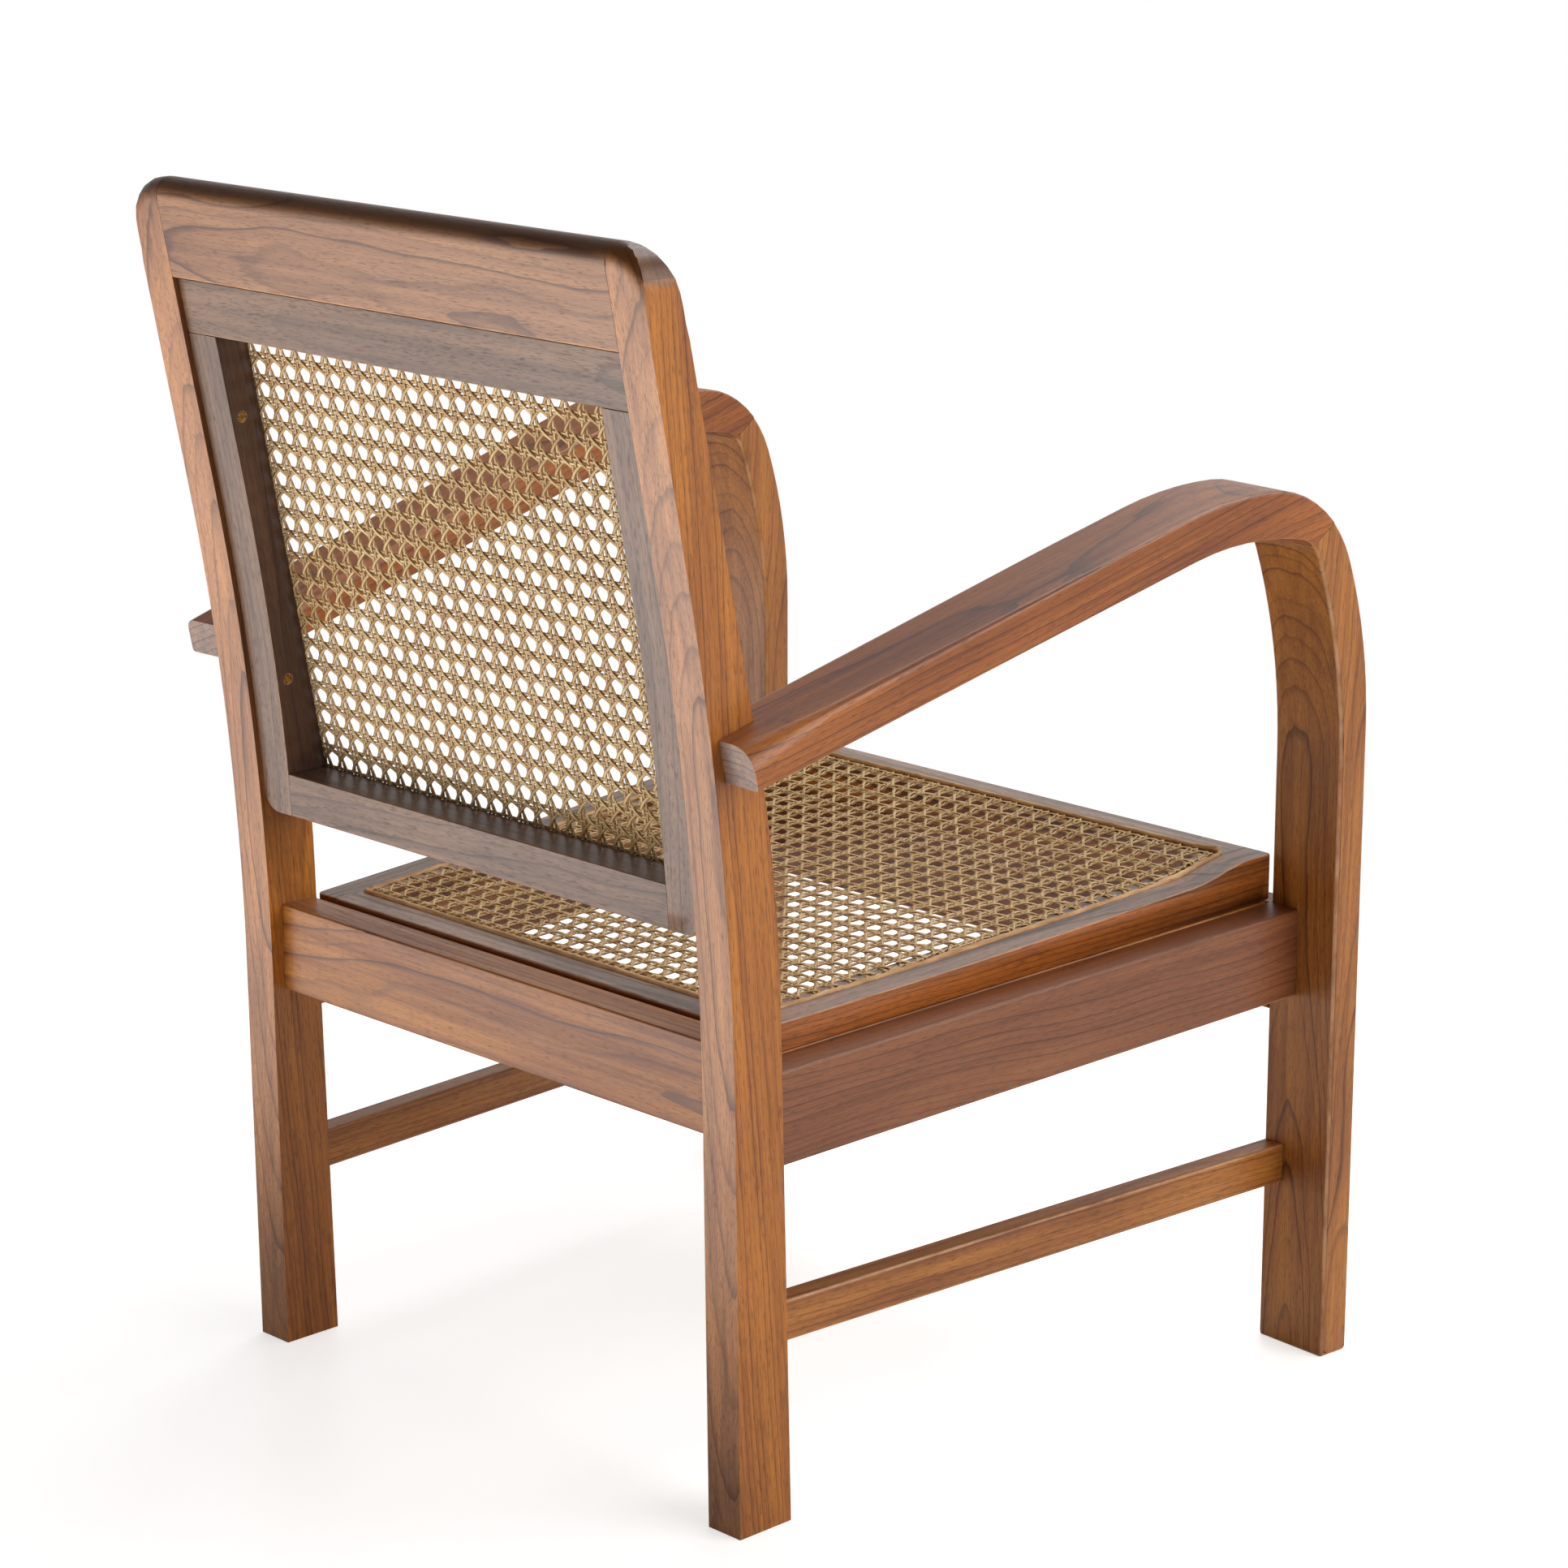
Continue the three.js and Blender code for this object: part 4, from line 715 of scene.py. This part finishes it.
def weave(name, place, depth_inside, size, body, material, seed):
    """Six-way cane: pairs of upright and level strands lock over and under each other, one slanting strand
    runs over the upright pairs and under the level ones, and the other the opposite way. size is the sheet's
    half width and its length. depth_inside gives how far a point of the sheet lies inside its edge; a strand
    runs only where that is above nought, and near the edge it sinks into the groove."""
    random = np.random.default_rng(seed)
    pitch = CANE_PITCH
    step = pitch / 8
    half = PAIR_SPACING / 2
    height = STRAND_THICKNESS * CROSSING_LIFT
    middle = np.array([0, size[1] / 2])
    counts = np.ceil(np.array([size[0], size[1] / 2]) / pitch).astype(int) + 1
    lines = [np.arange(-n, n + 1) * pitch + m for n, m in zip(counts, middle)]

    def build(label, u, v, lift, width, over):
        inside = depth_inside(u, v) > 0
        kept = inside.sum(axis=1) > 4
        u, v, lift, inside = u[kept], v[kept], lift[kept], inside[kept]
        first = inside.argmax(axis=1)
        last = inside.shape[1] - 1 - inside[:, ::-1].argmax(axis=1)
        share = np.linspace(0, 1, int((last - first).max()) + 1)[None]
        pick = first[:, None] + (last - first)[:, None] * share
        lower = np.floor(pick).astype(int)
        upper = np.minimum(lower + 1, u.shape[1] - 1)
        part = pick - lower

        def take(grid):
            return np.take_along_axis(grid, lower, 1) * (1 - part) + np.take_along_axis(grid, upper, 1) * part

        u, v, lift = take(u), take(v), take(lift)
        strand = random.random(len(u))
        # no strand lies quite straight or level
        turns = random.uniform(5, 19, (len(u), 1))
        waver = np.sin(share * turns + strand[:, None] * 9)
        lift = lift + (random.random(len(u))[:, None] - 0.5) * UNEVEN_LIFT + waver * UNEVEN_WAVE
        u = u + waver * UNEVEN_SWAY * over
        v = v + waver * UNEVEN_SWAY * (1 - over)
        depth = depth_inside(u, v)
        lift = lift * (0.5 + 0.5 * smoothstep(0, SETTLING_REACH, depth))
        lift = lift - GROOVE_SINK * np.clip(1 - depth / GROOVE_REACH, 0, 1)
        points = strand_grid(place, u, v, lift, width)
        steps = [np.diff(line, axis=1, prepend=line[:, :1]) for line in (u, v)]
        length = np.cumsum(np.hypot(*steps), axis=1)
        uv = np.stack(np.broadcast_arrays(length[..., None], np.linspace(0, 1, 6)), -1)
        piece = grid_mesh(f"{name}_{label}", points, (False, True), uv, strand, capped=True)
        return finish_piece(piece, body, "cane", material)

    span_u = np.arange(-size[0] - step, size[0] + step * 1.5, step)
    span_v = np.arange(-step, size[1] + step * 1.5, step)

    def wrap(value, centre):
        return (value - centre + pitch / 2) % pitch - pitch / 2

    def pair(centres):
        return np.concatenate([centres - half, centres + half])[:, None]

    def signs(centres):
        return np.concatenate([np.ones(len(centres)), -np.ones(len(centres))])[:, None]

    u = pair(lines[0]) + 0 * span_v
    v = span_v + 0 * u
    first = build("uprights", u, v, signs(lines[0]) * height * hump(wrap(v, middle[1])), STRAND_WIDTH, 1)
    v = pair(lines[1]) + 0 * span_u
    u = span_u + 0 * v
    build("levels", u, v, -signs(lines[1]) * height * hump(wrap(u, middle[0])), STRAND_WIDTH, 0)
    reach = size[0] * 2 + size[1]
    shifts = (np.arange(-int(reach / pitch) - 1, int(reach / pitch) + 2) + 0.5) * pitch
    u = np.arange(-size[0] - step, size[0] + step * 1.5, step * 0.9) + 0 * shifts[:, None]
    wave = np.cos(2 * np.pi * u / pitch) * height * SLANT_LIFT
    # each is drawn in towards the crossings that it passes, now on one side of it and now on the other
    sway = SLANT_SWAY * np.sin(2 * np.pi * u / pitch) / math.sqrt(2)
    build("rising", u - sway, u + shifts[:, None] + middle[1] + sway, wave, SLANT_WIDTH, 0.5)
    build("falling", u - sway, -u + shifts[:, None] + middle[1] - sway, -wave, SLANT_WIDTH, 0.5)
    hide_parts(name)


def reed_piece(name, place, inner, outer, body, material, seed, rise=None):
    """A round reed pressed into its groove. inner and outer are the lines of its two sides in sheet
    coordinates, (samples, 2). Its section is a slot with a domed top, swollen a little at the knuckles of
    the plant, and rise lifts it along its way. The attribute cut is 1 on its end faces."""
    random = np.random.default_rng(seed)
    middle = (inner + outer) / 2
    length = np.concatenate([[0], np.cumsum(np.linalg.norm(np.diff(middle, axis=0), axis=1))])
    turn = np.linspace(0, np.pi, 9)
    across = np.concatenate([[0.06], 0.5 - 0.5 * np.cos(turn), [0.94]])
    dome = np.concatenate([[-REED_DEPTH], -REED_DOME + np.sin(turn) * REED_DOME, [-REED_DEPTH]])
    knuckles = np.arange(0.012, length[-1], KNUCKLE_SPACING)
    knuckles = knuckles + random.uniform(-0.006, 0.006, len(knuckles))
    swelling = np.exp(-(((length[:, None] - knuckles[None]) / KNUCKLE_LENGTH) ** 2)).max(axis=1)
    waver = np.sin(length * 61 + seed) * 0.5 + np.sin(length * 23 + seed * 2) * 0.5
    top = REED_PROUD + swelling * KNUCKLE_SWELL + waver * REED_WAVER + (0 if rise is None else rise)
    upper = dome[None] > -REED_DEPTH + 1e-9
    height = np.where(upper, dome[None] + top[:, None], dome[None])
    flat = inner[:, None] * (1 - across[None, :, None]) + outer[:, None] * across[None, :, None]
    points = place(flat[..., 0], flat[..., 1], height)[None]
    uv = np.stack(np.broadcast_arrays(length[:, None] + seed, np.linspace(0, 1, len(across))[None]), -1)[None]
    piece = grid_mesh(name + "_round", points, (False, True), uv, capped=True)
    mesh = piece.data
    cut = np.zeros(len(mesh.polygons), np.float32)
    cut[[face.index for face in mesh.polygons if len(face.vertices) == 3]] = 1
    mesh.attributes.new("cut", "FLOAT", "FACE").data.foreach_set("value", cut)
    return finish_piece(piece, body, "reed", material, name)


def side_edges(line, low, high):
    """The two sides of a long reed that runs from low to high, where line gives the sheet's half width there.
    Its outer side turns in at both ends on the groove's rounded corner."""
    start = np.linspace(low, low + 0.012, 9)
    end = np.linspace(high - 0.012, high, 9)
    v = np.concatenate([start, np.arange(low + 0.014, high - 0.013, 0.003), end])
    base = line(v) + REED_GAP
    before = low - GROOVE_RIM + GROOVE_RADIUS - v
    after = v - (high + GROOVE_RIM - GROOVE_RADIUS)
    past = np.maximum(np.maximum(before, after), 0)
    turned = GROOVE_RADIUS - np.sqrt(np.maximum(GROOVE_RADIUS**2 - past**2, 0))
    outer = base + np.maximum(REED_WIDTH - turned, 0.0006)
    return np.stack([base, v], -1), np.stack([outer, v], -1)


cane = cane_material()
reed = reed_material()

# The back's cane lies on the panel's flat front.
back_low, back_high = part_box("back_cane")
cane_points = vertex_places(nodes["back_cane"].data).astype(float)
bottom_front = cane_points[cane_points[:, 2] < back_low.z + 0.002][:, 1].min()
top_front = cane_points[cane_points[:, 2] > back_high.z - 0.002][:, 1].min()
back_lean = math.atan((top_front - bottom_front) / (back_high.z - back_low.z))
sheet_up = np.array([0, math.sin(back_lean), math.cos(back_lean)])
sheet_out = np.array([0, -math.cos(back_lean), math.sin(back_lean)])
back_length = (back_high.z - back_low.z) / math.cos(back_lean)
back_start = np.array([0, bottom_front + SHEET_LIFT * math.cos(back_lean), back_low.z])


def place_on_back(u, v, height):
    """Sheet coordinates on the back: u across, v up the panel, height out of its front."""
    across = u[..., None] * np.array([1.0, 0, 0])
    return back_start + across + v[..., None] * sheet_up + height[..., None] * sheet_out


def back_depth(u, v):
    """Distance inside the sheet's edge, with rounded corners."""
    return rounded_depth(back_high.x - np.abs(u), np.minimum(v, back_length - v))


def rounded_depth(side, end):
    """Distance inside the sheet's rounded corner, from the distances inside its two edges."""
    radius = SHEET_CORNER
    corner = radius - np.hypot(np.maximum(radius - side, 0), np.maximum(radius - end, 0))
    return np.where((side < radius) & (end < radius), corner, np.minimum(side, end))


weave("back_cane", place_on_back, back_depth, (back_high.x, back_length), "frame", cane, 11)

# The seat's cane follows the dished seat, v running from its back edge to its front.
seat_points = vertex_places(nodes["seat_cane"].data).astype(float)
seat_low, seat_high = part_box("seat_cane")
rows_y = np.unique(np.round(seat_points[:, 1], 4))
seat_rows = [seat_points[np.abs(seat_points[:, 1] - y) < 0.0003] for y in rows_y]
tops = np.array([row[:, 2].max() for row in seat_rows])
widths = np.array([np.abs(row[:, 0]).max() for row in seat_rows])
front_half = widths[rows_y < seat_low.y + 0.006].max()
back_half = widths[rows_y > seat_high.y - 0.006].max()
seat_length = seat_high.y - seat_low.y


def seat_half(v):
    """Half the seat sheet's width at v: it widens evenly from its back edge to its front."""
    return back_half + (front_half - back_half) * v / seat_length


def seat_height(y):
    """Height of the CAD net's top at y."""
    return np.interp(y, rows_y, tops)


def place_on_seat(u, v, height):
    """Sheet coordinates on the seat: u across, v forward, height out of its curved top."""
    y = seat_high.y - v
    slope = (seat_height(y - 0.004) - seat_height(y + 0.004)) / 0.008
    size = np.sqrt(1 + slope**2)
    return np.stack([u, y + height * slope / size, seat_height(y) - SHEET_LIFT + height / size], -1)


def seat_depth(u, v):
    """Distance inside the sheet's edge, with rounded corners."""
    return rounded_depth(seat_half(v) - np.abs(u), np.minimum(v, seat_length - v))


weave("seat_cane", place_on_seat, seat_depth, (seat_high.x, seat_length), "seat", cane, 23)


def cross_edges(v, half, outward):
    """The two sides of a cross reed at v, its far side outward of it."""
    u = np.linspace(-half, half, CROSS_SAMPLES)
    near = np.stack([u, np.full_like(u, v + outward * REED_GAP)], -1)
    far = np.stack([u, np.full_like(u, v + outward * (REED_GAP + REED_WIDTH))], -1)
    return near, far


def lay_reeds(sheet, ends, place, line, length, body, seed, rise=None):
    """Four reeds round a sheet: a long one down each side, and cross ones between them. ends are the names
    of the ends where v is the length and nought; rise lifts the first of the cross reeds."""
    past = REED_GAP + REED_WIDTH - REED_STOP
    inner, outer = side_edges(line, -past, length + past)
    flip = np.array([-1, 1])
    reed_piece(f"{sheet}_reed_left", place, inner, outer, body, reed, seed)
    reed_piece(f"{sheet}_reed_right", place, outer * flip, inner * flip, body, reed, seed + 1)
    over = cross_edges(length, line(length), 1)
    under = cross_edges(0.0, line(0.0), -1)
    far_end, near_end = ends
    reed_piece(f"{sheet}_reed_{far_end}", place, over[1], over[0], body, reed, seed + 2, rise)
    reed_piece(f"{sheet}_reed_{near_end}", place, under[0], under[1], body, reed, seed + 3)


def back_half_width(v):
    """Half the back sheet's width at v: it is the same all the way up."""
    return back_high.x + 0 * v


lay_reeds("back", ("top", "bottom"), place_on_back, back_half_width, back_length, "frame", 3)
spring = FRONT_SPRING * np.clip(1 - np.linspace(0, 1, CROSS_SAMPLES) / 0.06, 0, 1) ** 1.6
lay_reeds("seat", ("front", "back"), place_on_seat, seat_half, seat_length, "seat", 8, spring)


# Floor, light and camera

def floor_sheet():
    """A level sheet. For the camera and for reflections it fades into plain white far from the chair, and
    near the chair it keeps the chair's shadow."""
    across = np.linspace(-FLOOR_HALF, FLOOR_HALF, 2 * FLOOR_HALF + 1)
    x, y = np.meshgrid(across, across, indexing="xy")
    floor = grid_mesh("floor", np.stack([x, y, np.zeros_like(x)], -1)[None])
    material, tree, surface = new_material("pale floor")
    spot = add(tree, "ShaderNodeTexCoord").outputs["Object"]
    cloud = noise(tree, stretch(tree, spot, (3, 3, 3)), 2)
    fill(tree, surface.inputs["Roughness"], calc(tree, "ADD", 0.34, calc(tree, "MULTIPLY", cloud, 0.1)))
    surface.inputs["Base Color"].default_value = (0.9, 0.895, 0.89, 1)
    light = add(tree, "ShaderNodeLightPath")
    seen = calc(tree, "MAXIMUM", light.outputs["Is Camera Ray"], light.outputs["Is Transmission Ray"])
    fill(tree, surface.inputs["Emission Strength"], calc(tree, "MULTIPLY", seen, FLOOR_GLOW))
    surface.inputs["Emission Color"].default_value = (1, 1, 1, 1)
    away = add(tree, "ShaderNodeVectorMath", {0: spot}, operation="LENGTH").outputs["Value"]
    reach = {0: away, 1: FADE_START, 2: FADE_END}
    fade = add(tree, "ShaderNodeMapRange", reach, interpolation_type="SMOOTHSTEP").outputs[0]
    shown = calc(tree, "MAXIMUM", seen, calc(tree, "MULTIPLY", light.outputs["Is Glossy Ray"], 0.25))
    white = add(tree, "ShaderNodeEmission", {"Strength": 1.0})
    share = calc(tree, "MULTIPLY", shown, fade)
    mixed = add(tree, "ShaderNodeMixShader", {0: share, 1: surface.outputs[0], 2: white.outputs[0]})
    fill(tree, tree.nodes["Material Output"].inputs["Surface"], mixed.outputs[0])
    floor.data.materials.append(material)


floor_sheet()


def studio():
    """The room's light by direction: bright at the horizon, dim overhead and behind the chair's back. The
    camera sees it white."""
    world = bpy.data.worlds.new("studio")
    bpy.context.scene.world = world
    world.use_nodes = True
    tree = world.node_tree
    background = tree.nodes["Background"]
    background.inputs["Color"].default_value = (1, 1, 1, 1)
    light = add(tree, "ShaderNodeLightPath")
    way = add(tree, "ShaderNodeSeparateXYZ", {0: add(tree, "ShaderNodeTexCoord").outputs["Generated"]})
    rise = ramp(tree, way.outputs[2], [(0.0, 1), (0.3, 0.7), (0.5, 0.25), (1, 0.2)])
    back = add(tree, "ShaderNodeMapRange", {0: way.outputs[1], 1: -0.3, 2: 0.5, 3: 1.0, 4: 0.3}).outputs[0]
    level = calc(tree, "MULTIPLY", rise, back)
    diffuse = calc(tree, "MULTIPLY", level, 0.75)
    more = calc(tree, "SUBTRACT", level, diffuse)
    room = calc(tree, "ADD", diffuse, calc(tree, "MULTIPLY", light.outputs["Is Glossy Ray"], more))
    seen = calc(tree, "MAXIMUM", light.outputs["Is Camera Ray"], light.outputs["Is Transmission Ray"])
    fill(tree, background.inputs["Strength"], calc(tree, "MAXIMUM", seen, room))


studio()


def lamp(name, place, aim, size, radiance, colour=(1, 1, 1)):
    """A soft rectangular lamp that the camera doesn't see. Its power is its radiance times pi times its
    area."""
    data = bpy.data.lights.new(name, "AREA")
    data.shape = "RECTANGLE"
    data.size, data.size_y = size
    data.energy = radiance * math.pi * size[0] * size[1]
    data.color = colour
    light = bpy.data.objects.new(name, data)
    light.location = place
    light.rotation_mode = "QUATERNION"
    light.rotation_quaternion = (Vector(aim) - Vector(place)).to_track_quat("-Z", "Y")
    light.visible_camera = False
    bpy.context.scene.collection.objects.link(light)


lamp("window", (-2.8, -0.9, 1.7), (0, 0, 0.4), (2.8, 2.2), 3.3, (1, 0.985, 0.96))
lamp("overhead", (0.3, -1.5, 2.5), (0, 0, 0.2), (2.2, 1.4), 3.4)
lamp("floor glow", (0.6, 1.75, 0.012), (0.6, 1.75, 1.0), (3.4, 2.5), 1.6)
lamp("floor shine", (0.62, 1.35, 0.02), (0.62, 1.35, 1.0), (0.9, 0.8), 3.0)
lamp("low window", (1.6, 2.8, 0.35), (0, 0, 0.3), (2.6, 0.7), 2.8)

camera_data = bpy.data.cameras.new("camera")
camera_data.sensor_fit = "HORIZONTAL"
camera_data.sensor_width = 36
camera_data.lens = CAMERA_LENS
camera_data.clip_end = 80
camera = bpy.data.objects.new("camera", camera_data)
camera.location = CAMERA_PLACE
azimuth, elevation = math.radians(CAMERA_AZIMUTH), math.radians(CAMERA_ELEVATION)
back = Vector((
    math.sin(azimuth) * math.cos(elevation),
    -math.cos(azimuth) * math.cos(elevation),
    math.sin(elevation),
))
camera.rotation_mode = "QUATERNION"
camera.rotation_quaternion = (-back).to_track_quat("-Z", "Y")
bpy.context.scene.collection.objects.link(camera)
bpy.context.scene.camera = camera

bpy.context.scene.view_settings.view_transform = "Standard"
